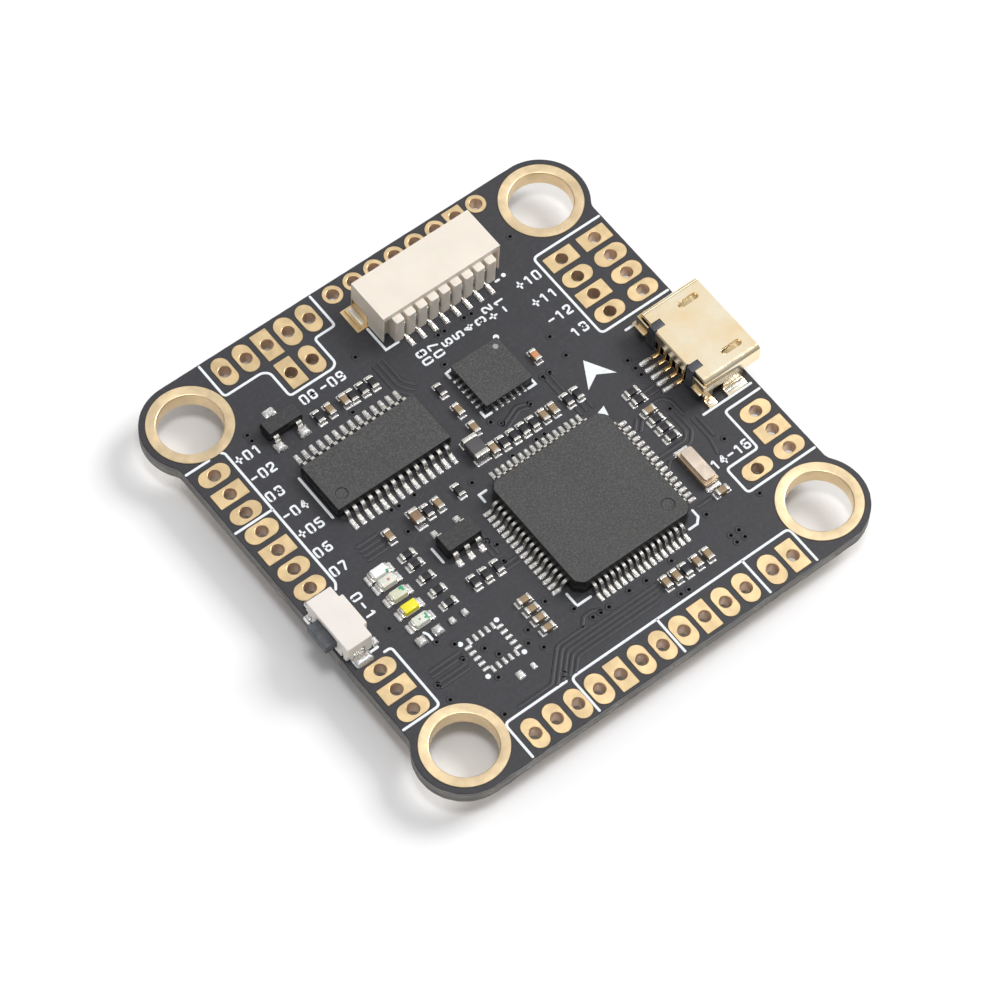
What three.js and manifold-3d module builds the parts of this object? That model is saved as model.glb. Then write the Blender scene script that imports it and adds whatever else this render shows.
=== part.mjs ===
// Flight controller board for a small multirotor: a bare circuit board on a 30.5 mm hole pattern,
// with its processor, sensor, video-overlay chip, motor-controller socket, USB socket and boot button.
// Millimetres. +Z up, +Y forward, +X towards the USB side. Origin: centre of the hole pattern,
// level with the lowest part under the board.
import * as THREE from 'three';
import Module from 'manifold-3d';
import { mergeVertices } from 'three/addons/utils/BufferGeometryUtils.js';

const wasm = await Module();
wasm.setup();

// Board
const PATTERN = 30.5;
const BOARD_THICKNESS = 1.2;
const UNDERSIDE_ROOM = 2;
const LOBE_RADIUS = 3.55;
const WAIST_HALF_WIDTH = 17.9;
const WAIST_FILLET = 1;
const MOUNT_HOLE_RADIUS = 2.33;
const MOUNT_RING_RADIUS = 3.07;
const BARREL_WALL = 0.05;
const RING_THICKNESS = 0.06;
const PAD_PITCH = 1.8;
const PAD_HOLE_RADIUS = 0.5;

const BOARD_BOTTOM = UNDERSIDE_ROOM;
const BOARD_TOP = BOARD_BOTTOM + BOARD_THICKNESS;
const MOUNT_HOLE_OFFSET = PATTERN / 2;
const PLATED_HOLE_RADIUS = MOUNT_HOLE_RADIUS + BARREL_WALL;

// Rows of wire pads: first hole, number of holes, and the way the row runs
const PAD_ROWS = [
  { x: -11, y: -17.36, count: 11, along: 'x' },
  { x: 9.3, y: -17.36, count: 2, along: 'x' },
  { x: -16.3, y: 0.23, count: 7, along: 'y' },
  { x: -16.3, y: -11.1, count: 3, along: 'y' },
  { x: 13.39, y: 5.18, count: 4, along: 'y' },
  { x: 16.34, y: 5.18, count: 4, along: 'y' },
  { x: 16.33, y: -10.73, count: 3, along: 'y' },
  { x: 13.51, y: -10.73, count: 1, along: 'y' },
  { x: -10.87, y: 17.25, count: 5, along: 'x' },
  { x: -7.27, y: 14.46, count: 2, along: 'x' },
  { x: -1.2, y: 17.8, count: 8, along: 'x' },
];

// Clearance where one piece sits in a slot of another, how far joined blocks run into one another,
// and how far a cutting block stands out past the surface that it cuts
const SLOT_GAP = 0.02;
const OVERLAP = 0.1;
const CUT_PAST = 1;

// Moulded packages: height off the board, draft of the sides, and how far leads are held inside
const PACKAGE = { standoff: 0.08, draft: 0.1, anchor: 0.55, leadRoot: 0.2, kneeShare: 0.2, footShare: 0.45 };

// Motor-controller socket: eight contacts on a 1 mm pitch, mouth forward
const SOCKET = {
  x: 4.32, width: 10.15, height: 2.95, wallBack: 12.6, ribBack: 12, front: 16.28,
  ribHeight: 2.48, ribWidth: 0.72, ribCorner: 0.15, pitch: 1, contacts: 8,
  mouthWidth: 8.9, mouthLow: 0.5, mouthHigh: 2.5, mouthDepth: 3.1,
  keyWidth: 0.7, keyLow: 0.22, keyHigh: 1, keyInset: 1,
  recessWall: 0.12, recessDepth: 0.45,
};
const SOCKET_CONTACT = {
  width: 0.24, thickness: 0.2, bladeLow: 1.3, bladeHigh: 1.7, tip: 15.3, footEnd: 11.2, legFront: 12.35,
};
const SOCKET_TAB = { width: 0.64, length: 1.85, thickness: 0.2, height: 1.1, front: 16.22 };

// Micro USB socket, mouth towards +X
const USB = {
  y: -0.87, width: 7.3, height: 2.55, rear: 13.9, front: 18.75, wall: 0.25,
  bottomWidth: 5.3, shoulder: 1.15, topRadius: 0.5, slopeShare: 0.6, shoulderShare: 0.2,
  notchOffset: 2.05, notchWidth: 0.6, notchDepth: 0.75, notchDrop: 0.55, pitch: 0.65, contacts: 5,
  springX: 17.15, springLength: 1.7, springWidth: 0.52, springOffset: 2.35, springCorner: 0.23,
  frontLegX: 16.4, frontLegLength: 1.7, rearLegInset: 0.35, rearLegLength: 0.7, legToe: 0.6, legRise: 1.35,
};
// Plate folded round behind the shell: a flap between the posts, and a tab with a lip at each corner
const USB_FOLD = {
  reach: 0.2, clear: 0.05, run: 0.4, bend: 0.1, flapWidth: 3.3, flapDrop: 0.95,
  tabInner: 2.43, tabLow: 1, tabHigh: 2.1, lipReach: 0.4, lipHeight: 0.15, lipInset: 0.15,
};
const USB_CONTACT = { width: 0.3, thickness: 0.15, footEnd: 12.35, bladeTip: 17.4, riserInset: 0.05 };
const USB_TONGUE = { width: 3.7, low: 1.25, high: 1.85, tip: 17.6 };
const USB_BLOCK = { depth: 1.2, postReach: 0.2, postLow: 0.3 };

// Boot button, pressed towards +X from the left edge
const BUTTON = {
  rear: -15.4, front: -17.75, y: -3.55, length: 4.6, height: 1.8, step: 0.3, stepLength: 2.7,
  wellDepth: 1.5, wellLength: 3, wellLow: 0.35, wellHigh: 1.35, mouthLength: 2.2, lip: 0.35,
  cornerCut: 0.3, cornerCutFrom: 1.65, cornerCutHeight: 0.7,
};
const PLUNGER = {
  tip: -18.6, length: 2.1, flangeLength: 2.8, flangeThickness: 0.3, low: 0.45, high: 1.25,
  noseLength: 0.8, noseDepth: 0.2, noseLow: 0.6, noseHigh: 1.1,
};
const DOME = { halfLength: 1.3, bow: 0.22, thickness: 0.08, low: 0.45, width: 0.8, steps: 8 };
const TERMINAL = { x: -16.75, width: 0.9, thickness: 0.2, height: 0.9, pocket: 0.3, toe: 0.45 };

// Where each part stands: x and y of its centre
const PLACE = {
  mcu: [2.5, -6.2], osd: [-6.8, 5.45], gyro: [3.45, 5.85], crystal: [10.2, -8.3],
  transistor: [-10.35, 11.45], regulator: [-6.25, -3.05], ferriteBead: [-1, 1.9],
  inductor5v: [-7, 0.9], inductor9v: [7, 0.9], buck5v: [-7, -4.2], buck9v: [7, -4.2],
  flashMemory: [0, 8.5], inputCapacitor: [0, -3.2],
};
const CRYSTAL = {
  baseWidth: 1.25, baseLength: 3.15, baseHeight: 0.5, lidWidth: 0.98, lidLength: 2.84, lidHeight: 0.36,
  lidCorner: 0.2,
};
const MOTION_SENSOR = {
  size: 4, height: 0.9, flanks: 6, pitch: 0.5, flankWidth: 0.26, flankHeight: 0.2, flankDepth: 0.06,
};
const STATUS_LED = {
  length: 1.6, width: 0.8, baseHeight: 0.22, lensLength: 1.24, lensTaper: 0.08, height: 0.6,
};
const INDUCTOR = { side: 4, corner: 0.6 };
const LED_ROWS = [-1.75, -2.65, -3.85, -5.1, -6.3];
const LED_X = -12;
const LED_RESISTOR_X = -9.65;
const CHIP_RESISTOR = { length: 1, width: 0.5, height: 0.33, cap: 0.22, proud: 0.03 };

const COLOURS = {
  solderMask: 0x3a3a3f, gold: 0xe3c27a, nylon: 0xf3e8d8, tin: 0xc9c9c6, goldShell: 0xe8c987,
  darkPlastic: 0x3a3d47, epoxy: 0x36363a, ceramic: 0xa98e72, crystalLid: 0xcdb9b4, steel: 0xb8b8b4,
  ledBase: 0xe8e4d8, resistor: 0x1e1e20, ferrite: 0x4a4648, inductor: 0x4b4b4d, capacitor: 0xb39a7c,
};

function material(color, roughness, metalness) {
  return new THREE.MeshStandardMaterial({ color, roughness, metalness });
}

function solidOf(geometry) {
  const bare = geometry.clone();
  bare.deleteAttribute('normal');
  bare.deleteAttribute('uv');
  const merged = mergeVertices(bare, 1e-5);
  const vertProperties = new Float32Array(merged.attributes.position.array);
  const triVerts = new Uint32Array(merged.index.array);
  return new wasm.Manifold(new wasm.Mesh({ numProp: 3, vertProperties, triVerts }));
}

function geometryOf(solid) {
  const mesh = solid.getMesh();
  const geometry = new THREE.BufferGeometry();
  geometry.setAttribute('position', new THREE.BufferAttribute(new Float32Array(mesh.vertProperties), 3));
  geometry.setIndex(new THREE.BufferAttribute(new Uint32Array(mesh.triVerts), 1));
  geometry.computeVertexNormals();
  return geometry;
}

function join(geometries) {
  const [first, ...rest] = geometries.map(solidOf);
  return geometryOf(rest.reduce((whole, piece) => whole.add(piece), first));
}

function cut(geometry, tools) {
  return geometryOf(tools.map(solidOf).reduce((left, tool) => left.subtract(tool), solidOf(geometry)));
}

// A box given by its low and high limits on each axis
function block(x, y, z) {
  const box = new THREE.BoxGeometry(x[1] - x[0], y[1] - y[0], z[1] - z[0]);
  return box.translate((x[0] + x[1]) / 2, (y[0] + y[1]) / 2, (z[0] + z[1]) / 2);
}

function around(centre, size) {
  return [centre - size / 2, centre + size / 2];
}

function between(a, b) {
  return [Math.min(a, b), Math.max(a, b)];
}

function arc(cx, cy, radius, start, end, steps) {
  const points = [];
  for (let i = 0; i <= steps; i += 1) {
    const angle = start + ((end - start) * i) / steps;
    points.push(new THREE.Vector2(cx + radius * Math.cos(angle), cy + radius * Math.sin(angle)));
  }
  return points;
}

function circlePath(cx, cy, radius, sides) {
  return new THREE.Path(arc(cx, cy, radius, 0, 2 * Math.PI, sides).slice(0, -1));
}

// A closed profile in the (forward, up) plane, made width wide and centred on x = 0.
// The plane's first axis becomes +Y and its second axis +Z.
function ribbon(points, width) {
  const shape = new THREE.Shape(points.map(([along, up]) => new THREE.Vector2(along, up)));
  const geometry = new THREE.ExtrudeGeometry(shape, { depth: width, bevelEnabled: false });
  geometry.translate(0, 0, -width / 2);
  geometry.rotateX(Math.PI / 2);
  geometry.rotateZ(Math.PI / 2);
  return geometry;
}

function piece(name, geometry, finish) {
  const mesh = new THREE.Mesh(geometry, finish);
  mesh.name = name;
  return mesh;
}

function padHoles() {
  const holes = [];
  for (const row of PAD_ROWS) {
    for (let i = 0; i < row.count; i += 1) {
      const shift = i * PAD_PITCH;
      holes.push(row.along === 'x' ? [row.x + shift, row.y] : [row.x, row.y + shift]);
    }
  }
  return holes;
}

// A waist on each side between four lobes, one lobe round each mounting hole
function boardOutline() {
  const filletX = WAIST_HALF_WIDTH + WAIST_FILLET;
  const across = filletX - MOUNT_HOLE_OFFSET;
  const drop = Math.sqrt((LOBE_RADIUS + WAIST_FILLET) ** 2 - across ** 2);
  const meeting = Math.atan2(drop, across);
  const fillet = arc(filletX, MOUNT_HOLE_OFFSET - drop, WAIST_FILLET, Math.PI, Math.PI - meeting, 4);
  const lobe = arc(MOUNT_HOLE_OFFSET, MOUNT_HOLE_OFFSET, LOBE_RADIUS, -meeting, Math.PI / 2, 20);
  const corner = [...fillet, ...lobe.slice(1)];
  const outline = [];
  for (const [sx, sy] of [[1, 1], [-1, 1], [-1, -1], [1, -1]]) {
    const turned = corner.map((point) => new THREE.Vector2(point.x * sx, point.y * sy));
    outline.push(...(sx * sy > 0 ? turned : turned.reverse()));
  }
  return outline;
}

function circuitBoard() {
  const shape = new THREE.Shape(boardOutline());
  for (const sx of [-1, 1]) {
    for (const sy of [-1, 1]) {
      shape.holes.push(circlePath(sx * MOUNT_HOLE_OFFSET, sy * MOUNT_HOLE_OFFSET, PLATED_HOLE_RADIUS, 36));
    }
  }
  for (const [x, y] of padHoles()) {
    shape.holes.push(circlePath(x, y, PAD_HOLE_RADIUS, 12));
  }
  const geometry = new THREE.ExtrudeGeometry(shape, { depth: BOARD_THICKNESS, bevelEnabled: false });
  const board = piece('pcb', geometry, material(COLOURS.solderMask, 0.6, 0));
  board.position.z = BOARD_BOTTOM;
  return board;
}

// Copper barrel and its two rings, turned about the hole's axis
function mountHolePlating(name, x, y) {
  const low = -RING_THICKNESS;
  const high = BOARD_THICKNESS + RING_THICKNESS;
  const profile = [
    [MOUNT_HOLE_RADIUS, low], [MOUNT_RING_RADIUS, low], [MOUNT_RING_RADIUS, 0], [PLATED_HOLE_RADIUS, 0],
    [PLATED_HOLE_RADIUS, BOARD_THICKNESS], [MOUNT_RING_RADIUS, BOARD_THICKNESS], [MOUNT_RING_RADIUS, high],
    [MOUNT_HOLE_RADIUS, high], [MOUNT_HOLE_RADIUS, low],
  ].map(([radius, up]) => new THREE.Vector2(radius, up));
  const geometry = new THREE.LatheGeometry(profile, 36);
  geometry.rotateX(Math.PI / 2);
  // the turned profile's zero angle is brought to +X, as in the board's own holes
  geometry.rotateZ(Math.PI / 2);
  const mesh = piece(name, geometry, material(COLOURS.gold, 0.3, 1));
  mesh.position.set(x, y, BOARD_BOTTOM);
  return mesh;
}

// One stamped lead, from inside the body out to its foot on the board
function gullWing({ start, shoulder, footStart, footEnd, rise, thickness, width }) {
  const half = thickness / 2;
  const under = [[start, rise - half], [shoulder, rise - half], [footStart, 0], [footEnd, 0]];
  const over = [
    [footEnd, thickness], [footStart + half, thickness], [shoulder + half, rise + half], [start, rise + half],
  ];
  return ribbon([...under, ...over], width);
}

function chamferedRectangle(length, width, corner) {
  const x = length / 2;
  const y = width / 2;
  const points = [
    [x, y - corner], [x - corner, y], [-x + corner, y], [-x, y - corner],
    [-x, -y + corner], [-x + corner, -y], [x - corner, -y], [x, -y + corner],
  ];
  return new THREE.Shape(points.map(([px, py]) => new THREE.Vector2(px, py)));
}

// A moulded body with drafted sides, and the lead frame it is moulded round.
// Each row in rows is { side, offsets }: side is the turn from +Y in quarter turns.
function leadedPackage(name, spec) {
  const { length, width, height, span, rows, leadWidth, leadThickness, cornerCut = 0.12 } = spec;
  const { standoff, draft, anchor, leadRoot, kneeShare, footShare } = PACKAGE;
  const overhang = (span - width) / 2;
  const rise = standoff + (height - standoff) / 2;
  const frameParts = [block(
    around(0, length - 2 * anchor),
    around(0, width - 2 * anchor),
    around(rise, leadThickness),
  )];
  for (const { side, offsets } of rows) {
    const reach = (side % 2 === 0 ? width : length) / 2;
    for (const offset of offsets) {
      const lead = gullWing({
        start: reach - anchor - leadRoot,
        shoulder: reach + overhang * kneeShare,
        footStart: reach + overhang * footShare,
        footEnd: reach + overhang,
        rise,
        thickness: leadThickness,
        width: leadWidth,
      });
      lead.translate(offset, 0, 0);
      lead.rotateZ((side * Math.PI) / 2);
      frameParts.push(lead);
    }
  }
  const frame = join(frameParts);

  const halfRise = (height - standoff - leadThickness) / 2;
  const body = new THREE.ExtrudeGeometry(chamferedRectangle(length, width, cornerCut), {
    depth: leadThickness, bevelEnabled: true, bevelSegments: 1, bevelThickness: halfRise,
    bevelSize: draft, bevelOffset: -draft,
  });
  body.translate(0, 0, standoff + halfRise);
  return [
    piece(`${name}_package`, cut(body, [frame]), material(COLOURS.epoxy, 0.7, 0)),
    piece(`${name}_leadframe`, frame, material(COLOURS.tin, 0.35, 1)),
  ];
}

function evenRow(count, pitch) {
  return Array.from({ length: count }, (_, i) => (i - (count - 1) / 2) * pitch);
}

function placed(meshes, [x, y]) {
  const group = new THREE.Group();
  group.add(...meshes);
  group.position.set(x, y, 0);
  return group;
}

function processor() {
  const rows = [0, 1, 2, 3].map((side) => ({ side, offsets: evenRow(16, 0.5) }));
  return leadedPackage('mcu', {
    length: 10,
    width: 10,
    height: 1.45,
    span: 12,
    rows,
    leadWidth: 0.22,
    leadThickness: 0.14,
    cornerCut: 0.5,
  });
}

function videoOverlayChip() {
  const rows = [0, 2].map((side) => ({ side, offsets: evenRow(14, 0.65) }));
  return leadedPackage('osd', {
    length: 9.7, width: 4.4, height: 1.1, span: 6.4, rows, leadWidth: 0.25, leadThickness: 0.14,
  });
}

function threeLeadTransistor() {
  const rows = [{ side: 0, offsets: [0] }, { side: 2, offsets: [-0.95, 0.95] }];
  return leadedPackage('transistor', {
    length: 2.9, width: 1.3, height: 1, span: 2.4, rows, leadWidth: 0.42, leadThickness: 0.13,
  });
}

function linearRegulator() {
  const rows = [{ side: 0, offsets: [-0.95, 0.95] }, { side: 2, offsets: evenRow(3, 0.95) }];
  return leadedPackage('regulator', {
    length: 2.9, width: 1.6, height: 1.1, span: 2.8, rows, leadWidth: 0.4, leadThickness: 0.13,
  });
}

function buckRegulator(name) {
  const rows = [0, 2].map((side) => ({ side, offsets: evenRow(3, 0.95) }));
  return leadedPackage(name, {
    length: 2.9, width: 1.6, height: 1.1, span: 2.8, rows, leadWidth: 0.4, leadThickness: 0.13,
  });
}

function flashMemory() {
  const rows = [0, 2].map((side) => ({ side, offsets: evenRow(4, 1.27) }));
  return leadedPackage('flash_memory', {
    length: 5.2, width: 5.3, height: 1.8, span: 7.9, rows, leadWidth: 0.42, leadThickness: 0.2,
  });
}

// Leadless motion sensor: a square moulded body with shallow solder flanks under its edge
function motionSensor() {
  const { size, height, flankWidth, flankHeight, flankDepth } = MOTION_SENSOR;
  const flanks = [];
  for (const offset of evenRow(MOTION_SENSOR.flanks, MOTION_SENSOR.pitch)) {
    for (let side = 0; side < 4; side += 1) {
      const flank = block(
        around(offset, flankWidth), [size / 2 - flankDepth, size / 2 + CUT_PAST], [-CUT_PAST, flankHeight],
      );
      flank.rotateZ((side * Math.PI) / 2);
      flanks.push(flank);
    }
  }
  const body = block(around(0, size), around(0, size), [0, height]);
  return piece('gyro_package', cut(body, flanks), material(COLOURS.epoxy, 0.65, 0));
}

function crystal() {
  const { baseWidth, baseLength, baseHeight, lidWidth, lidLength, lidHeight, lidCorner } = CRYSTAL;
  const base = block(around(0, baseWidth), around(0, baseLength), [0, baseHeight]);
  const lidOutline = roundedRectangle(lidWidth, lidLength, lidCorner, 3);
  const lid = new THREE.ExtrudeGeometry(lidOutline, { depth: lidHeight, bevelEnabled: false });
  lid.translate(0, 0, baseHeight);
  return [
    piece('crystal_base', base, material(COLOURS.ceramic, 0.6, 0)),
    piece('crystal_lid', lid, material(COLOURS.crystalLid, 0.3, 1)),
  ];
}

function roundedRectangle(width, length, radius, steps) {
  const points = [];
  const quarter = Math.PI / 2;
  for (const [sx, sy, start] of [[1, 1, 0], [-1, 1, 1], [-1, -1, 2], [1, -1, 3]]) {
    const cx = sx * (width / 2 - radius);
    const cy = sy * (length / 2 - radius);
    points.push(...arc(cx, cy, radius, start * quarter, (start + 1) * quarter, steps));
  }
  return new THREE.Shape(points);
}

// A two-terminal chip: its end caps stand slightly proud of its body
function endCappedChip(name, { length, width, height, cap, proud }, finish) {
  const half = length / 2;
  const geometry = ribbon([
    [-half, 0], [half, 0], [half, height + proud], [half - cap, height + proud],
    [half - cap, height], [-half + cap, height], [-half + cap, height + proud], [-half, height + proud],
  ], width);
  return piece(name, geometry, finish);
}

function statusLed(name) {
  const { width, baseHeight, lensTaper, height } = STATUS_LED;
  const half = STATUS_LED.length / 2;
  const lens = STATUS_LED.lensLength / 2;
  const geometry = ribbon([
    [-half, 0], [half, 0], [half, baseHeight], [lens, baseHeight], [lens - lensTaper, height],
    [-lens + lensTaper, height], [-lens, baseHeight], [-half, baseHeight],
  ], width);
  geometry.rotateZ(Math.PI / 2);
  return piece(name, geometry, material(COLOURS.ledBase, 0.3, 0));
}

function socketContactX(index) {
  return SOCKET.x + (index - (SOCKET.contacts - 1) / 2) * SOCKET.pitch;
}

function socketContactProfile() {
  const { thickness, bladeLow, bladeHigh, tip, footEnd, legFront } = SOCKET_CONTACT;
  const legBack = legFront - thickness;
  return [
    [footEnd, 0], [legFront, 0], [legFront, bladeLow], [tip, bladeLow], [tip, bladeHigh],
    [legBack, bladeHigh], [legBack, thickness], [footEnd, thickness],
  ];
}

function socketContacts() {
  const contacts = [];
  for (let i = 0; i < SOCKET.contacts; i += 1) {
    const contact = piece(
      `esc_socket_contact_${i + 1}`,
      ribbon(socketContactProfile(), SOCKET_CONTACT.width),
      material(COLOURS.tin, 0.3, 1),
    );
    contact.position.x = socketContactX(i);
    contacts.push(contact);
  }
  return contacts;
}

function socketHousing() {
  const left = SOCKET.x - SOCKET.width / 2;
  const right = SOCKET.x + SOCKET.width / 2;
  const parts = [block([left, right], [SOCKET.wallBack, SOCKET.front], [0, SOCKET.height])];
  for (let i = 0; i <= SOCKET.contacts; i += 1) {
    // the rib's front corners are rounded too, inside the wall that it runs into
    const ribLength = SOCKET.wallBack - SOCKET.ribBack + SOCKET.ribCorner + OVERLAP;
    const rib = new THREE.ExtrudeGeometry(
      roundedRectangle(SOCKET.ribWidth, ribLength, SOCKET.ribCorner, 3),
      { depth: SOCKET.ribHeight, bevelEnabled: false },
    );
    rib.translate(socketContactX(i) - SOCKET.pitch / 2, SOCKET.ribBack + ribLength / 2, 0);
    parts.push(rib);
  }
  const mouthBack = SOCKET.front - SOCKET.mouthDepth;
  const mouth = block(
    around(SOCKET.x, SOCKET.mouthWidth),
    [mouthBack, SOCKET.front + CUT_PAST],
    [SOCKET.mouthLow, SOCKET.mouthHigh],
  );
  const tools = [mouth];
  const outermostRib = (SOCKET.contacts * SOCKET.pitch + SOCKET.ribWidth) / 2;
  for (const side of [-1, 1]) {
    // key slot beside the mouth, the pocket that holds the solder tab, and a recess past the last rib
    const keyX = SOCKET.x + (side * (SOCKET.mouthWidth - SOCKET.keyInset)) / 2;
    const keyDepth = [mouthBack + SOCKET.keyInset, SOCKET.front + CUT_PAST];
    tools.push(block(around(keyX, SOCKET.keyWidth), keyDepth, [SOCKET.keyLow, SOCKET.keyHigh]));
    const faceX = SOCKET.x + (side * SOCKET.width) / 2;
    tools.push(block(
      between(faceX - side * (SOCKET_TAB.thickness + SLOT_GAP), faceX + side * CUT_PAST),
      [SOCKET_TAB.front - SOCKET_TAB.length - SLOT_GAP, SOCKET_TAB.front + SLOT_GAP],
      [-CUT_PAST, SOCKET_TAB.height + SLOT_GAP],
    ));
    tools.push(block(
      between(faceX - side * SOCKET.recessWall, SOCKET.x + side * outermostRib),
      [SOCKET.wallBack - CUT_PAST, SOCKET.wallBack + SOCKET.recessDepth],
      [-CUT_PAST, SOCKET.ribHeight],
    ));
  }
  for (let i = 0; i < SOCKET.contacts; i += 1) {
    const bladeHole = block(
      around(0, SOCKET_CONTACT.width + 2 * SLOT_GAP),
      [SOCKET.wallBack - CUT_PAST, mouthBack + OVERLAP],
      [-CUT_PAST, SOCKET_CONTACT.bladeHigh + SLOT_GAP],
    );
    bladeHole.translate(socketContactX(i), 0, 0);
    tools.push(bladeHole);
  }
  return piece('esc_socket_housing', cut(join(parts), tools), material(COLOURS.nylon, 0.55, 0));
}

// An L of plate: the upright stands in the housing's side pocket and the foot is soldered down
function socketTab(name, side) {
  const { width, length, thickness, height, front } = SOCKET_TAB;
  const geometry = ribbon([
    [0, 0], [width + thickness, 0], [width + thickness, thickness], [thickness, thickness],
    [thickness, height], [0, height],
  ], length);
  geometry.rotateZ(side > 0 ? -Math.PI / 2 : Math.PI / 2);
  const tab = piece(name, geometry, material(COLOURS.tin, 0.35, 1));
  const innerX = SOCKET.x + side * (SOCKET.width / 2 - thickness);
  tab.position.set(innerX, front - length / 2, 0);
  return tab;
}

// Section of the USB shell: wide above, sloping in to a narrower bottom. inset shrinks it all round.
function usbSection(inset) {
  const half = USB.width / 2 - inset;
  const bottomHalf = USB.bottomWidth / 2 - inset * USB.slopeShare;
  const radius = USB.topRadius - inset * USB.slopeShare;
  const top = USB.height - inset;
  const right = arc(half - radius, top - radius, radius, 0, Math.PI / 2, 4);
  const left = arc(-half + radius, top - radius, radius, Math.PI / 2, Math.PI, 4);
  const shoulder = USB.shoulder + inset * USB.shoulderShare;
  return [
    new THREE.Vector2(-bottomHalf, inset), new THREE.Vector2(bottomHalf, inset),
    new THREE.Vector2(half, shoulder), ...right, ...left, new THREE.Vector2(-half, shoulder),
  ];
}

// A section in the (across, up) plane, run along +X from rear to front
function usbPrism(section, rear, front) {
  const shape = new THREE.Shape(section);
  const geometry = new THREE.ExtrudeGeometry(shape, { depth: front - rear, bevelEnabled: false });
  geometry.rotateX(Math.PI / 2);
  geometry.rotateZ(Math.PI / 2);
  geometry.translate(rear, USB.y, 0);
  return geometry;
}

function usbLeg(side, x, length) {
  const outer = USB.width / 2;
  const inner = outer - USB.wall;
  const toe = outer + USB.legToe;
  const profile = [
    [inner, 0], [toe, 0], [toe, USB.wall], [outer, USB.wall], [outer, USB.legRise], [inner, USB.legRise],
  ];
  const geometry = ribbon(profile.map(([across, up]) => [side * across, up]), length);
  geometry.translate(x, USB.y, 0);
  return geometry;
}

// The top plate's rear edge, folded down behind the moulding
function usbFlap() {
  const { reach, clear, run, bend, flapWidth, flapDrop } = USB_FOLD;
  const top = USB.height;
  const under = top - (reach - clear);
  const profile = [
    [USB.rear + run, top], [USB.rear - reach + bend, top], [USB.rear - reach, top - bend],
    [USB.rear - reach, top - flapDrop], [USB.rear - clear, top - flapDrop], [USB.rear - clear, under],
    [USB.rear + run, under],
  ];
  return usbRibbon(profile, flapWidth, USB.y);
}

// A side wall carried rearwards and folded in behind the moulding, with a lip turned out along its foot
function usbCornerTab(side) {
  const { reach, clear, run, tabInner, tabLow, tabHigh, lipReach, lipHeight, lipInset } = USB_FOLD;
  const outer = USB.width / 2;
  const across = (from, to) => between(USB.y + side * from, USB.y + side * to);
  const wallHigh = USB.height - USB.topRadius;
  return [
    block([USB.rear - reach, USB.rear + run], across(outer - USB.wall, outer), [USB.shoulder, wallHigh]),
    block([USB.rear - reach, USB.rear - clear], across(tabInner, outer), [tabLow, tabHigh]),
    block(
      [USB.rear - lipReach, USB.rear - clear],
      across(tabInner + lipInset, outer - lipInset),
      [tabLow, tabLow + lipHeight],
    ),
  ];
}

function usbShell() {
  const parts = [usbPrism(usbSection(0), USB.rear, USB.front)];
  const tools = [usbPrism(usbSection(USB.wall), USB.rear - CUT_PAST, USB.front + CUT_PAST)];
  for (const side of [-1, 1]) {
    parts.push(usbLeg(side, USB.frontLegX, USB.frontLegLength));
    parts.push(usbLeg(side, USB.rear + USB.rearLegInset, USB.rearLegLength));
    tools.push(block(
      [USB.rear - CUT_PAST, USB.rear + USB.notchDepth],
      around(USB.y + side * USB.notchOffset, USB.notchWidth + 2 * SLOT_GAP),
      [USB.height - USB.notchDrop, USB.height + CUT_PAST],
    ));
    const slot = new THREE.ExtrudeGeometry(
      roundedRectangle(USB.springLength, USB.springWidth, USB.springCorner, 3),
      { depth: CUT_PAST, bevelEnabled: false },
    );
    slot.translate(USB.springX, USB.y + side * USB.springOffset, USB.height - USB.wall - OVERLAP);
    tools.push(slot);
  }
  const tube = cut(join(parts), tools);
  const folds = [usbFlap(), ...usbCornerTab(-1), ...usbCornerTab(1)];
  return piece('usb_shell', join([tube, ...folds]), material(COLOURS.goldShell, 0.2, 1));
}

function usbContactY(index) {
  return USB.y + (index - (USB.contacts - 1) / 2) * USB.pitch;
}

// Foot on the board, riser behind the moulding, then a blade under the tongue
function usbContactProfile(grow) {
  const { thickness, footEnd, bladeTip, riserInset } = USB_CONTACT;
  const riser = USB.rear - riserInset;
  const bladeTop = USB_TONGUE.low + thickness / 2;
  return [
    [footEnd, 0], [riser + thickness + grow, 0], [riser + thickness + grow, bladeTop - thickness - grow],
    [bladeTip + grow, bladeTop - thickness - grow], [bladeTip + grow, bladeTop + grow],
    [riser - grow, bladeTop + grow], [riser - grow, thickness], [footEnd, thickness],
  ];
}

function usbRibbon(profile, width, y) {
  const geometry = ribbon(profile, width);
  geometry.rotateZ(-Math.PI / 2);
  geometry.translate(0, y, 0);
  return geometry;
}

function usbContacts() {
  const contacts = [];
  for (let i = 0; i < USB.contacts; i += 1) {
    const geometry = usbRibbon(usbContactProfile(0), USB_CONTACT.width, usbContactY(i));
    contacts.push(piece(`usb_contact_${i + 1}`, geometry, material(COLOURS.goldShell, 0.25, 1)));
  }
  return contacts;
}

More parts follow.
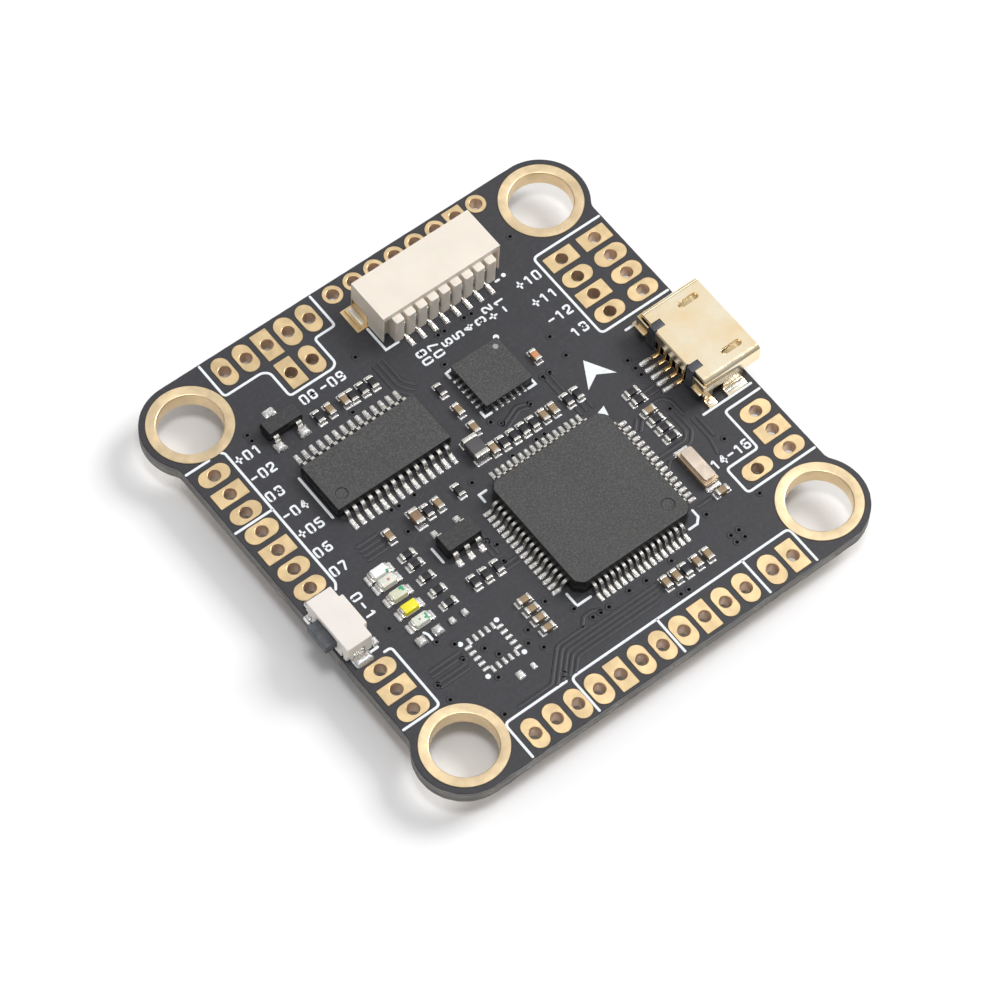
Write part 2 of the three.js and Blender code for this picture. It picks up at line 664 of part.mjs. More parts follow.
// Moulded insulator: a block that closes the shell's rear, a tongue into the mouth, and two posts
function usbInsulator() {
  const blockFront = USB.rear + USB_BLOCK.depth;
  const plug = usbPrism(usbSection(USB.wall + SLOT_GAP), USB.rear + SLOT_GAP, blockFront);
  const tongue = block(
    [blockFront - OVERLAP, USB_TONGUE.tip],
    around(USB.y, USB_TONGUE.width),
    [USB_TONGUE.low, USB_TONGUE.high],
  );
  const parts = [plug, tongue];
  const plugHigh = USB.height - USB.wall - SLOT_GAP - OVERLAP;
  for (const side of [-1, 1]) {
    const across = around(USB.y + side * USB.notchOffset, USB.notchWidth);
    parts.push(block(
      [USB.rear - USB_BLOCK.postReach, USB.rear + USB.notchDepth - SLOT_GAP],
      across,
      [plugHigh, USB.height - SLOT_GAP],
    ));
    parts.push(block(
      [USB.rear - USB_BLOCK.postReach, USB.rear + OVERLAP],
      across,
      [USB_BLOCK.postLow, USB.height - SLOT_GAP],
    ));
  }
  const tools = [];
  for (let i = 0; i < USB.contacts; i += 1) {
    tools.push(usbRibbon(usbContactProfile(SLOT_GAP), USB_CONTACT.width + 2 * SLOT_GAP, usbContactY(i)));
  }
  return piece('usb_insulator', cut(join(parts), tools), material(COLOURS.darkPlastic, 0.6, 0));
}

function buttonHousing() {
  const stepX = BUTTON.rear - BUTTON.step;
  const body = block([BUTTON.front, stepX], around(BUTTON.y, BUTTON.length), [0, BUTTON.height]);
  const step = block([stepX - OVERLAP, BUTTON.rear], around(BUTTON.y, BUTTON.stepLength), [0, BUTTON.height]);
  const well = block(
    [BUTTON.front + BUTTON.lip, BUTTON.front + BUTTON.wellDepth],
    around(BUTTON.y, BUTTON.wellLength),
    [BUTTON.wellLow, BUTTON.wellHigh],
  );
  const mouth = block(
    [BUTTON.front - CUT_PAST, BUTTON.front + BUTTON.lip + OVERLAP],
    around(BUTTON.y, BUTTON.mouthLength),
    [BUTTON.wellLow, BUTTON.wellHigh],
  );
  // end pockets that hold the two terminals
  const pockets = [-1, 1].map((side) => {
    const end = BUTTON.y + (side * BUTTON.length) / 2;
    return block(
      around(TERMINAL.x, TERMINAL.width + 2 * SLOT_GAP),
      between(end + side * CUT_PAST, end - side * TERMINAL.pocket),
      [-CUT_PAST, TERMINAL.height + SLOT_GAP],
    );
  });
  // the front's lower corners are cut back round the locating lugs
  const cornerCuts = [-1, 1].map((side) => block(
    [BUTTON.front - CUT_PAST, BUTTON.front + BUTTON.cornerCut],
    between(BUTTON.y + side * BUTTON.cornerCutFrom, BUTTON.y + side * BUTTON.length),
    [-CUT_PAST, BUTTON.cornerCutHeight],
  ));
  const geometry = cut(join([body, step]), [well, mouth, ...pockets, ...cornerCuts]);
  return piece('boot_button_housing', geometry, material(COLOURS.nylon, 0.55, 0));
}

function buttonPlunger() {
  const heights = [PLUNGER.low, PLUNGER.high];
  const flangeFront = BUTTON.front + BUTTON.lip + SLOT_GAP;
  const flangeBack = flangeFront + PLUNGER.flangeThickness;
  const stem = block([PLUNGER.tip, flangeFront + OVERLAP], around(BUTTON.y, PLUNGER.length), heights);
  const flange = block([flangeFront, flangeBack], around(BUTTON.y, PLUNGER.flangeLength), heights);
  const nose = block(
    [flangeBack - OVERLAP, flangeBack + PLUNGER.noseDepth],
    around(BUTTON.y, PLUNGER.noseLength),
    [PLUNGER.noseLow, PLUNGER.noseHigh],
  );
  return piece('boot_button_plunger', join([stem, flange, nose]), material(COLOURS.darkPlastic, 0.5, 0));
}

// Sprung contact plate behind the plunger, bowed towards it
function buttonDome() {
  const inner = [];
  const outer = [];
  for (let i = 0; i <= DOME.steps; i += 1) {
    const t = (2 * i) / DOME.steps - 1;
    const lift = DOME.bow * (1 - t * t);
    inner.push(new THREE.Vector2(-lift, t * DOME.halfLength));
    outer.push(new THREE.Vector2(-lift - DOME.thickness, t * DOME.halfLength));
  }
  const shape = new THREE.Shape([...inner, ...outer.reverse()]);
  const geometry = new THREE.ExtrudeGeometry(shape, { depth: DOME.width, bevelEnabled: false });
  geometry.translate(BUTTON.front + BUTTON.wellDepth - SLOT_GAP, BUTTON.y, DOME.low);
  return piece('boot_button_dome', geometry, material(COLOURS.steel, 0.3, 1));
}

function buttonTerminal(name, side) {
  const end = BUTTON.y + (side * BUTTON.length) / 2;
  const inner = end - side * (TERMINAL.pocket - SLOT_GAP);
  const across = around(TERMINAL.x, TERMINAL.width);
  const upright = block(across, between(inner, inner + side * TERMINAL.thickness), [0, TERMINAL.height]);
  const foot = block(across, between(inner, end + side * TERMINAL.toe), [0, TERMINAL.thickness]);
  return piece(name, join([upright, foot]), material(COLOURS.tin, 0.3, 1));
}

function inductor(name) {
  const outline = roundedRectangle(INDUCTOR.side, INDUCTOR.side, INDUCTOR.corner, 4);
  const geometry = new THREE.ExtrudeGeometry(outline, { depth: UNDERSIDE_ROOM, bevelEnabled: false });
  return piece(name, geometry, material(COLOURS.inductor, 0.6, 0.2));
}

function ledResistor(name) {
  const resistor = endCappedChip(name, CHIP_RESISTOR, material(COLOURS.resistor, 0.4, 0));
  resistor.geometry.rotateZ(Math.PI / 2);
  return resistor;
}

function ferriteBead() {
  const size = { length: 1.8, width: 1.15, height: 0.85, cap: 0.35, proud: 0.04 };
  return endCappedChip('ferrite_bead', size, material(COLOURS.ferrite, 0.5, 0));
}

function inputCapacitor() {
  const size = { length: 3.2, width: 1.6, height: 1.5, cap: 0.5, proud: 0.05 };
  return endCappedChip('input_capacitor', size, material(COLOURS.capacitor, 0.5, 0));
}

const assembly = new THREE.Group();
assembly.add(circuitBoard());

const CORNERS = [['front_left', -1, 1], ['front_right', 1, 1], ['rear_left', -1, -1], ['rear_right', 1, -1]];
for (const [corner, sx, sy] of CORNERS) {
  assembly.add(mountHolePlating(`mount_plating_${corner}`, sx * MOUNT_HOLE_OFFSET, sy * MOUNT_HOLE_OFFSET));
}

// Everything on the upper face stands on z = 0 of this group
const upper = new THREE.Group();
upper.position.z = BOARD_TOP;
assembly.add(upper);
upper.add(socketHousing(), ...socketContacts());
upper.add(socketTab('esc_socket_tab_left', -1), socketTab('esc_socket_tab_right', 1));
upper.add(usbShell(), usbInsulator(), ...usbContacts());
upper.add(placed(processor(), PLACE.mcu));
upper.add(placed(videoOverlayChip(), PLACE.osd));
upper.add(placed([motionSensor()], PLACE.gyro));
upper.add(placed(crystal(), PLACE.crystal));
upper.add(placed(threeLeadTransistor(), PLACE.transistor));
upper.add(placed(linearRegulator(), PLACE.regulator));
upper.add(placed([ferriteBead()], PLACE.ferriteBead));
upper.add(buttonHousing(), buttonPlunger(), buttonDome());
upper.add(buttonTerminal('boot_button_terminal_front', 1), buttonTerminal('boot_button_terminal_rear', -1));
LED_ROWS.forEach((y, i) => {
  upper.add(placed([statusLed(`led_${i + 1}`)], [LED_X, y]));
  upper.add(placed([ledResistor(`led_resistor_${i + 1}`)], [LED_RESISTOR_X, y]));
});

// Everything on the lower face hangs from z = 0 of this group, which is turned over about X
const lower = new THREE.Group();
lower.position.z = BOARD_BOTTOM;
lower.rotation.x = Math.PI;
assembly.add(lower);
for (const [meshes, [x, y]] of [
  [[inductor('inductor_5v')], PLACE.inductor5v],
  [[inductor('inductor_9v')], PLACE.inductor9v],
  [buckRegulator('buck_regulator_5v'), PLACE.buck5v],
  [buckRegulator('buck_regulator_9v'), PLACE.buck9v],
  [flashMemory(), PLACE.flashMemory],
  [[inputCapacitor()], PLACE.inputCapacitor],
]) {
  lower.add(placed(meshes, [x, -y]));
}

export default assembly;
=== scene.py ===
"""Looks of the flight controller board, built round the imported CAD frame.

Lengths in this file are millimetres, in the CAD frame (+Z up, +Y forward, +X towards the USB side), and
become metres where a mesh is made.
"""
import math

import bpy
import bmesh
from mathutils import Matrix, Vector, noise
from mathutils.geometry import tessellate_polygon

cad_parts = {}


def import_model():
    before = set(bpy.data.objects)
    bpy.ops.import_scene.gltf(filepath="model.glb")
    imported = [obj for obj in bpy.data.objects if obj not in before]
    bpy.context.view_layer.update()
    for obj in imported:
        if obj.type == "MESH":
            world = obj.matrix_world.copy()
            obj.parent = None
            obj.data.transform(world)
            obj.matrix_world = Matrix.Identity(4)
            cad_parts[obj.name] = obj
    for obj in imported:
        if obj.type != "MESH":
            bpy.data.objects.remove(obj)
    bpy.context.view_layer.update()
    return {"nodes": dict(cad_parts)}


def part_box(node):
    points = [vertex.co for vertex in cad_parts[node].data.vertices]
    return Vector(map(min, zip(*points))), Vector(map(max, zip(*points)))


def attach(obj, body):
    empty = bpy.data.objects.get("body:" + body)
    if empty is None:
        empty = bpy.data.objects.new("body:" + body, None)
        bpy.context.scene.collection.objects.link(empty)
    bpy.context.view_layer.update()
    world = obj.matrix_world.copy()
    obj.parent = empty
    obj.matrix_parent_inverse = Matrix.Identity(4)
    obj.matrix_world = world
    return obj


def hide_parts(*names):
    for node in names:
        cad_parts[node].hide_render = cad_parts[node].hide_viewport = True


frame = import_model()

MM = 0.001
BOARD = "board"
BUTTON_BODY = "boot_button"


def cad_box(node):
    """Lowest and highest corner of a CAD node, in millimetres."""
    low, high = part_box(node)
    return Vector(low) / MM, Vector(high) / MM


BOTTOM, TOP = (corner.z for corner in cad_box("pcb"))
HOLE_OFFSET = 15.25
WAIST_X = 17.9
LOBE_RADIUS = 3.55
WAIST_FILLET = 1.0

COPPER = 0.04
SILK_HEIGHT = 0.02
SILK_WIDTH = 0.2
PAD_PITCH = 1.8
HOLE_RADIUS = 0.44
DRILL_RADIUS = 0.5
MOUNT_DRILL = 2.38
GAP_DEPTH = 0.004  # half the height of the bare strip round a pad
BURIED = 0.002  # how far printing, traces and marks reach down into what they lie on
SHARPEST_BEND = 0.4  # keeps the outside of a line's bend from running away
LEAST_CORNER = 0.004  # corner radius below which rounded outlines would turn inside out
QUARTERS = (0, 90, 180, 270)
CORNERS = {"front_left": (-1, 1), "front_right": (1, 1), "rear_left": (-1, -1), "rear_right": (1, -1)}


def on_board(low, high):
    """The middle of a box in plan, on the upper face of the board."""
    return (low.x + high.x) / 2, (low.y + high.y) / 2, TOP


# ---------------------------------------------------------------- outlines, in the plane

def arc(cx, cy, radius, start, end, steps):
    """Points on an arc, angles in degrees."""
    angles = [math.radians(start + (end - start) * i / steps) for i in range(steps + 1)]
    return [(cx + radius * math.cos(a), cy + radius * math.sin(a)) for a in angles]


def circle(radius, sides=32, cx=0.0, cy=0.0):
    return arc(cx, cy, radius, 0, 360, sides)[:-1]


def rounded_rectangle(width, length, radius, steps=4):
    x, y = width / 2 - radius, length / 2 - radius
    corners = [(x, y, 0), (-x, y, 90), (-x, -y, 180), (x, -y, 270)]
    return [p for cx, cy, start in corners for p in arc(cx, cy, radius, start, start + 90, steps)]


def chamfered_rectangle(width, length, cut):
    x, y = width / 2, length / 2
    return [(x, y - cut), (x - cut, y), (cut - x, y), (-x, y - cut),
            (-x, cut - y), (cut - x, -y), (x - cut, -y), (x, cut - y)]


def inset_rectangle(width, length, radius, inset, steps=3):
    """A rounded rectangle moved in on every side, its corners never turning inside out."""
    corner = max(radius - inset, LEAST_CORNER)
    return rounded_rectangle(width - 2 * inset, length - 2 * inset, corner, steps)


def package_outline(length, width, cut, inset):
    """The outline of a moulded body, chamfered at the corners and moved in on every side."""
    cut = max(cut - (2 - math.sqrt(2)) * inset, 0.02)
    outline = chamfered_rectangle(length - 2 * inset, width - 2 * inset, cut)
    return rounded_path(outline, cut * 0.3, 2, closed=True)


def offset(outline, distance):
    """The closed outline moved outwards (inwards when distance is negative), corner by corner."""
    moved = []
    count = len(outline)
    for i, (x, y) in enumerate(outline):
        before, after = Vector(outline[i - 1]), Vector(outline[(i + 1) % count])
        here = Vector((x, y))
        first, second = (here - before), (after - here)
        if first.length < 1e-9 or second.length < 1e-9:
            moved.append((x, y))
            continue
        n1 = Vector((first.y, -first.x)).normalized()
        n2 = Vector((second.y, -second.x)).normalized()
        middle = n1 + n2
        scale = distance / max(0.3, 1 + n1.dot(n2))
        moved.append((x + middle.x * scale, y + middle.y * scale))
    return moved


def rounded_path(points, radius, steps=4, closed=False):
    """A polyline with its corners turned into arcs of that radius."""
    count = len(points)
    out = []
    for i, point in enumerate(points):
        here = Vector(point)
        if not closed and i in (0, count - 1):
            out.append(tuple(here))
            continue
        before, after = Vector(points[i - 1]), Vector(points[(i + 1) % count])
        to_before, to_after = (before - here), (after - here)
        reach = min(radius, to_before.length / 2, to_after.length / 2)
        start = here + to_before.normalized() * reach
        end = here + to_after.normalized() * reach
        for k in range(steps + 1):
            t = k / steps
            out.append(tuple(start * (1 - t) ** 2 + here * 2 * t * (1 - t) + end * t * t))
    return out


def left_sides(path):
    """For each point of a line, the step to its left that keeps a parallel line at a distance of one."""
    for i, here in enumerate(path):
        steps = [here - path[i - 1]] if i else []
        steps += [path[i + 1] - here] if i + 1 < len(path) else []
        sides = [Vector((-step.y, step.x)).normalized() for step in steps]
        side = sum(sides, Vector((0, 0)))
        yield side / max(SHARPEST_BEND, 1 + sides[0].dot(sides[-1])) if len(sides) == 2 else side


def round_end(end, before, radius, steps):
    """The points of a round cap at a line's end, anticlockwise, without the two that the sides have."""
    angle = math.degrees(math.atan2(end.y - before.y, end.x - before.x))
    return arc(end.x, end.y, radius, angle - 90, angle + 90, steps)[1:-1]


def ribbon_outline(points, width, cap_steps):
    """The outline of a line of that width with round ends."""
    half = width / 2
    line = [Vector(p) for p in points]
    sides = list(left_sides(line))
    left = [tuple(here + side * half) for here, side in zip(line, sides)]
    right = [tuple(here - side * half) for here, side in zip(line, sides)]
    return (right + round_end(line[-1], line[-2], half, cap_steps)
            + left[::-1] + round_end(line[0], line[1], half, cap_steps))


# ---------------------------------------------------------------- solids

class Solid:
    """Vertices in millimetres and faces with a material number, gathered before they become an object."""

    def __init__(self):
        self.points = []
        self.faces = []
        self.materials = []

    def add(self, points, faces, material=0):
        base = len(self.points)
        self.points.extend(Vector(p) for p in points)
        self.faces.extend([base + i for i in face] for face in faces)
        self.materials.extend([material] * len(faces))
        return self

    def join(self, other, at=(0, 0, 0), turn=0.0, over=False):
        """Adds another solid, turned about Z by degrees, turned over about X if over, then moved."""
        matrix = Matrix.Translation(at)
        if over:
            matrix = matrix @ Matrix.Rotation(math.pi, 4, "X")
        matrix = matrix @ Matrix.Rotation(math.radians(turn), 4, "Z")
        base = len(self.points)
        self.points.extend(matrix @ p for p in other.points)
        self.faces.extend([base + i for i in face] for face in other.faces)
        self.materials.extend(other.materials)
        return self


def loft(solid, rings, material=0, cap_start=True, cap_end=True):
    """Joins rings of equal length, given as lists of (x, y, z), into one closed skin."""
    count = len(rings[0])
    points = [p for ring in rings for p in ring]
    faces = []
    for r in range(len(rings) - 1):
        for i in range(count):
            j = (i + 1) % count
            faces.append([r * count + i, r * count + j, (r + 1) * count + j, (r + 1) * count + i])
    if cap_start:
        faces.append(list(range(count))[::-1])
    if cap_end:
        faces.append([(len(rings) - 1) * count + i for i in range(count)])
    return solid.add(points, faces, material)


def ring_at(outline, z):
    return [(x, y, z) for x, y in outline]


def prism(solid, outline, low, high, material=0):
    """Adds the outline raised from low to high, with sharp edges."""
    return loft(solid, [ring_at(outline, low), ring_at(outline, high)], material)


def slab(width, length, low, high, edge=0.05, corner=0.0, material=0):
    """A block from low to high with rounded edges, its middle over the origin."""
    outline = rounded_rectangle(width, length, max(corner, edge + LEAST_CORNER), 3)
    turns = [(math.sin(a), math.cos(a)) for a in (0, math.pi / 4, math.pi / 2)]
    rings = [ring_at(offset(outline, -edge * (1 - s)), low + edge * (1 - c)) for s, c in turns]
    rings += [ring_at(offset(outline, -edge * (1 - c)), high - edge * (1 - s)) for s, c in turns]
    return loft(Solid(), rings, material)


def profile_strip(profile, width, edge, material=0):
    """A closed (y, z) profile made width wide along X, its two ends eased by edge."""
    half = width / 2
    levels = [(-half, -edge), (-half + edge, 0), (half - edge, 0), (half, -edge)]
    rings = [[(x, y, z) for y, z in (offset(profile, inset) if inset else profile)] for x, inset in levels]
    return loft(Solid(), rings, material)


def closed_loops(rings, materials):
    """A solid like a bent tube: each ring is joined to the next, and the last to the first."""
    solid = Solid()
    count = len(rings[0])
    solid.points = [Vector(p) for ring in rings for p in ring]
    for r, material in enumerate(materials):
        s = (r + 1) % len(rings)
        for i in range(count):
            j = (i + 1) % count
            solid.faces.append([r * count + i, r * count + j, s * count + j, s * count + i])
            solid.materials.append(material)
    return solid


def lathe(profile, sides=96):
    """A closed (radius, z) profile turned about Z."""
    angles = [2 * math.pi * k / sides for k in range(sides)]
    loops = [[(r * math.cos(a), r * math.sin(a), z) for r, z in profile] for a in angles]
    return closed_loops(loops, [0] * sides)


def flat_sheet(outer, holes, z):
    """Triangles that fill an outline with holes in it, facing up."""
    loops = [outer] + holes
    points = [(x, y, z) for loop in loops for x, y in loop]
    triangles = tessellate_polygon([[Vector((x, y, 0)) for x, y in loop] for loop in loops])
    faces = []
    for a, b, c in triangles:
        pa, pb, pc = (Vector(points[i]) for i in (a, b, c))
        faces.append([a, b, c] if (pb - pa).cross(pc - pa).z > 0 else [a, c, b])
    return points, faces


WELD = 2e-8  # points nearer than this, in metres, are one point
WELD_CAD = 1e-6
FLAT_ANGLE = 0.5  # neighbouring CAD faces that turn by less, in degrees, are one face
SHARP_ANGLE = 30  # CAD edges that turn by more are rounded


def stand(name, mesh, body, slot, replaces, smooth):
    """Puts a finished mesh in the frame, shaded smooth below that angle."""
    mesh.polygons.foreach_set("use_smooth", [True] * len(mesh.polygons))
    mesh.set_sharp_from_angle(angle=math.radians(smooth))
    obj = bpy.data.objects.new(name, mesh)
    bpy.context.scene.collection.objects.link(obj)
    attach(obj, body)
    if replaces:
        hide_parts(*replaces)
    # corner normals weighted by area, so that flats stay flat beside their rounded edges
    obj.modifiers.new("weighted_normals", "WEIGHTED_NORMAL").keep_sharp = True


def make(name, solid, finishes, body=BOARD, slot=None, replaces=(), smooth=35):
    """Turns a gathered solid into an object; finishes are MAT keys in order of material number."""
    mesh = bpy.data.meshes.new(name)
    mesh.from_pydata([p * MM for p in solid.points], [], solid.faces)
    for finish in finishes.split():
        mesh.materials.append(MAT[finish])
    mesh.polygons.foreach_set("material_index", solid.materials)
    bm = bmesh.new()
    bm.from_mesh(mesh)
    bmesh.ops.remove_doubles(bm, verts=bm.verts, dist=WELD)
    bmesh.ops.recalc_face_normals(bm, faces=bm.faces)
    bm.to_mesh(mesh)
    bm.free()
    stand(name, mesh, body, slot, replaces, smooth)


def eased(name, node, finish, width, segments=2, body=BOARD, angle=SHARP_ANGLE):
    """A copy of a CAD node with its edges rounded, standing for the node."""
    mesh = frame["nodes"][node].data.copy()
    mesh.name = name
    bm = bmesh.new()
    bm.from_mesh(mesh)
    bmesh.ops.remove_doubles(bm, verts=bm.verts, dist=WELD_CAD)
    bmesh.ops.dissolve_limit(bm, angle_limit=math.radians(FLAT_ANGLE), verts=bm.verts, edges=bm.edges)
    sharp = [e for e in bm.edges if len(e.link_faces) == 2 and e.calc_face_angle(0) > math.radians(angle)]
    bmesh.ops.bevel(bm, geom=sharp, offset=width * MM, segments=segments, profile=0.5, affect="EDGES",
                    clamp_overlap=True)
    bm.to_mesh(mesh)
    bm.free()
    mesh.materials.clear()
    mesh.materials.append(MAT[finish])
    mesh.polygons.foreach_set("material_index", [0] * len(mesh.polygons))
    stand(name, mesh, body, None, [node], 40)


# ---------------------------------------------------------------- materials

PER_MM = 1 / MM


class Nodes:
    """A material's node tree, with short ways to add and link nodes."""

    def __init__(self, name):
        self.material = bpy.data.materials.new(name)
        self.material.use_nodes = True
        self.tree = self.material.node_tree
        self.shader = self.tree.nodes["Principled BSDF"]
        self.place = self.add("ShaderNodeTexCoord").outputs["Object"]

    def add(self, kind, **values):
        node = self.tree.nodes.new(kind)
        for key, value in values.items():
            setattr(node, key, value)
        return node

    def link(self, output, socket):
        self.tree.links.new(output, socket)

    def fill(self, node, **values):
        """Sets a node's inputs, whose names have _ for each space."""
        for name, value in values.items():
            node.inputs[name.replace("_", " ")].default_value = value
        return node

    def noise(self, per_mm, detail=3.0, roughness=0.55, stretch=None):
        node = self.fill(self.add("ShaderNodeTexNoise"), Scale=per_mm * PER_MM, Detail=detail,
                         Roughness=roughness)
        place = self.place
        if stretch:
            mapping = self.fill(self.add("ShaderNodeMapping"), Scale=stretch)
            self.link(self.place, mapping.inputs["Vector"])
            place = mapping.outputs["Vector"]
        self.link(place, node.inputs["Vector"])
        return node.outputs["Fac"]

    def spread(self, source, low, high, start=0.3, end=0.7):
        """The part of source between start and end, laid out from low to high."""
        node = self.fill(self.add("ShaderNodeMapRange"), From_Min=start, From_Max=end, To_Min=low,
                         To_Max=high)
        self.link(source, node.inputs["Value"])
        return node.outputs["Result"]

    def times(self, first, second):
        node = self.add("ShaderNodeMath", operation="MULTIPLY")
        self.link(first, node.inputs[0])
        self.link(second, node.inputs[1])
        return node.outputs["Value"]

    def blend(self, factor, first, second):
        """Goes from first to second, each a colour or an output, as factor goes from 0 to 1."""
        node = self.add("ShaderNodeMix", data_type="RGBA")
        self.link(factor, node.inputs["Factor"])
        for value, index in ((first, 6), (second, 7)):
            if isinstance(value, tuple):
                node.inputs[index].default_value = (*value, 1)
            else:
                self.link(value, node.inputs[index])
        return node.outputs[2]

    def finish(self, colour, rough, *heights, **values):
        """Links the surface; heights are (0..1 value, depth in mm), laid over one another as bumps."""
        self.link(colour, self.shader.inputs["Base Color"])
        self.link(rough, self.shader.inputs["Roughness"])
        previous = None
        for value, depth in heights:
            node = self.fill(self.add("ShaderNodeBump"), Strength=1.0, Distance=depth * MM)
            self.link(value, node.inputs["Height"])
            if previous:
                self.link(previous, node.inputs["Normal"])
            previous = node.outputs["Normal"]
        self.link(previous, self.shader.inputs["Normal"])
        self.fill(self.shader, **values)
        return self.material

    def edges(self, radius):
        """1 on sharp convex and concave edges, 0 on flats."""
        bevel = self.add("ShaderNodeBevel", samples=4)
        bevel.inputs["Radius"].default_value = radius * MM
        geometry = self.add("ShaderNodeNewGeometry")
        dot = self.add("ShaderNodeVectorMath", operation="DOT_PRODUCT")
        self.link(bevel.outputs["Normal"], dot.inputs[0])
        self.link(geometry.outputs["Normal"], dot.inputs[1])
        return self.spread(dot.outputs["Value"], 1.0, 0.0, 0.8, 0.99)


def scaled(colour, factor):
    return tuple(min(1.0, c * factor) for c in colour)


def mottled(name, colour, rough, metallic=0.0, mottle=0.12, patch=1.5, grain=12.0, depth=0.004, edge_highlight=None):
    """A finish with slow colour patches, fine grain, uneven gloss and, if asked, edges painted lighter as a
    highlight.
    """
    n = Nodes(name)
    patches = n.noise(patch)
    fine = n.noise(grain, detail=4.0)
    shade = n.blend(n.spread(patches, 0.0, 1.0), scaled(colour, 1 - mottle), scaled(colour, 1 + mottle))
    shade = n.blend(n.spread(fine, 0.0, 0.35, 0.35, 0.75), shade, scaled(colour, 1 + mottle * 2))
    if edge_highlight:
        # painted highlight: sharp edges are lightened towards the given colour
        shade = n.blend(n.edges(0.06), shade, edge_highlight)
    return n.finish(shade, n.spread(fine, rough - 0.06, rough + 0.06), (fine, depth), Metallic=metallic)


def solder_mask(name, colour):
    """Charcoal mask: a faint woven relief of the glass under it, fine orange peel and dusty patches."""
    n = Nodes(name)
    patches = n.noise(0.16, detail=5.0)
    peel = n.noise(9.0, detail=3.0)
    waves = []
    for direction in "XY":
        wave = n.add("ShaderNodeTexWave", wave_type="BANDS", bands_direction=direction)
        n.fill(wave, Scale=0.55 * PER_MM, Distortion=0.6, Detail=1.0)
        n.link(n.place, wave.inputs["Vector"])
        waves.append(wave.outputs["Fac"])
    dust = n.noise(3.6, detail=5.0, roughness=0.7)
    shade = n.blend(n.spread(patches, 0.0, 1.0), scaled(colour, 0.9), scaled(colour, 1.12))
    shade = n.blend(n.spread(peel, 0.0, 0.5, 0.3, 0.8), shade, scaled(colour, 1.35))
    shade = n.blend(n.spread(dust, 0.0, 0.8, 0.48, 0.74), shade, scaled(colour, 1.75))
    return n.finish(shade, n.spread(peel, 0.4, 0.52), (n.times(*waves), 0.004), (peel, 0.0035),
                    Specular_IOR_Level=0.5)


def laminate_edge(name):
    """The board's cut edge: layered glass cloth in grey-green resin, with pale frayed fibres."""
    n = Nodes(name)
    layers = n.noise(3.2, detail=3.0, stretch=(0.12, 0.12, 2.2))
    fibres = n.noise(6.0, detail=5.0, roughness=0.7, stretch=(0.5, 0.5, 2.6))
    lumps = n.noise(0.55, detail=3.0)
    base = n.blend(n.spread(layers, 0.0, 1.0), (0.085, 0.083, 0.080), (0.25, 0.24, 0.22))
    pale = n.times(n.spread(fibres, 0.0, 1.0, 0.5, 0.72), n.spread(lumps, 0.1, 1.0, 0.42, 0.62))
    return n.finish(n.blend(pale, base, (0.52, 0.50, 0.45)), n.spread(fibres, 0.62, 0.86), (layers, 0.03),
                    (fibres, 0.04))


def plated_gold(name, colour, rough, grain=5.0, scratch=0.5):
    """Immersion gold: satin, faintly blotched, with the grain of the copper under it."""
    n = Nodes(name)
    blotch = n.noise(1.1, detail=4.0)
    fine = n.noise(grain * 3, detail=3.0)
    brushed = n.noise(grain, detail=2.0, stretch=(0.35, 2.4, 1.0))
    shade = n.blend(n.spread(blotch, 0.0, 1.0), scaled(colour, 0.9), scaled(colour, 1.06))
    shade = n.blend(n.spread(fine, 0.0, 0.4, 0.45, 0.8), shade, scaled(colour, 0.78))
    return n.finish(shade, n.spread(blotch, rough - 0.05, rough + 0.08), (brushed, 0.004 * scratch),
                    (fine, 0.003), Metallic=1.0)


def polished_gold(name, colour):
    """Stamped and gold-flashed sheet: bright, with faint drawing lines, a few dull spots and edges painted
    paler as a highlight.
    """
    n = Nodes(name)
    drawn = n.noise(7.0, detail=2.0, stretch=(0.12, 2.0, 2.0))
    ripple = n.noise(0.35, detail=2.0)
    dull = n.noise(2.2, detail=4.0)
    shade = n.blend(n.spread(ripple, 0.0, 1.0, 0.35, 0.65), colour, (0.98, 0.77, 0.47))
    shade = n.blend(n.spread(dull, 0.0, 0.5, 0.4, 0.75), shade, scaled(colour, 0.84))
    # painted highlight: edges paled towards near-white gold
    shade = n.blend(n.edges(0.05), shade, (1.0, 0.9, 0.68))
    return n.finish(shade, n.spread(dull, 0.13, 0.27), (ripple, 0.03), (drawn, 0.0012), Metallic=1.0)


def solder(name, colour):
    """Reflowed tin: bright, lumpy, frosted in patches."""
    n = Nodes(name)
    lumps = n.noise(2.4, detail=2.0)
    frost = n.noise(9.0, detail=4.0)
    shade = n.blend(n.spread(frost, 0.0, 1.0), scaled(colour, 0.72), colour)
    return n.finish(shade, n.spread(frost, 0.16, 0.36), (lumps, 0.03), (frost, 0.002), Metallic=1.0)


def chip_epoxy(name, colour, speck=(0.122, 0.119, 0.113), grain_depth=0.02):
    """Moulding compound: dark, matte, with pale filler specks, a laser-roughened face and edges painted
    lighter as a highlight.
    """
    n = Nodes(name)
    patch = n.noise(0.3, detail=3.0)
    filler = n.fill(n.add("ShaderNodeTexVoronoi", feature="F1"), Scale=7 * PER_MM)
    n.link(n.place, filler.inputs["Vector"])
    grain = n.noise(8.0, detail=3.0, roughness=0.8)
    shade = n.blend(n.spread(patch, 0.0, 1.0), scaled(colour, 0.88), scaled(colour, 1.12))
    stain = n.noise(1.1, detail=5.0, roughness=0.7)
    shade = n.blend(n.spread(stain, 0.0, 0.4, 0.55, 0.75), shade, (0.062, 0.054, 0.042))
    shade = n.blend(n.spread(grain, 0.0, 0.85, 0.44, 0.7), shade, speck)
    shade = n.blend(n.spread(filler.outputs["Distance"], 0.42, 0.0, 0.0, 0.3), shade, speck)
    # painted highlight: edges lightened to nearly twice the body colour
    shade = n.blend(n.edges(0.05), shade, scaled(colour, 1.8))
    return n.finish(shade, n.spread(grain, 0.5, 0.72), (grain, grain_depth))


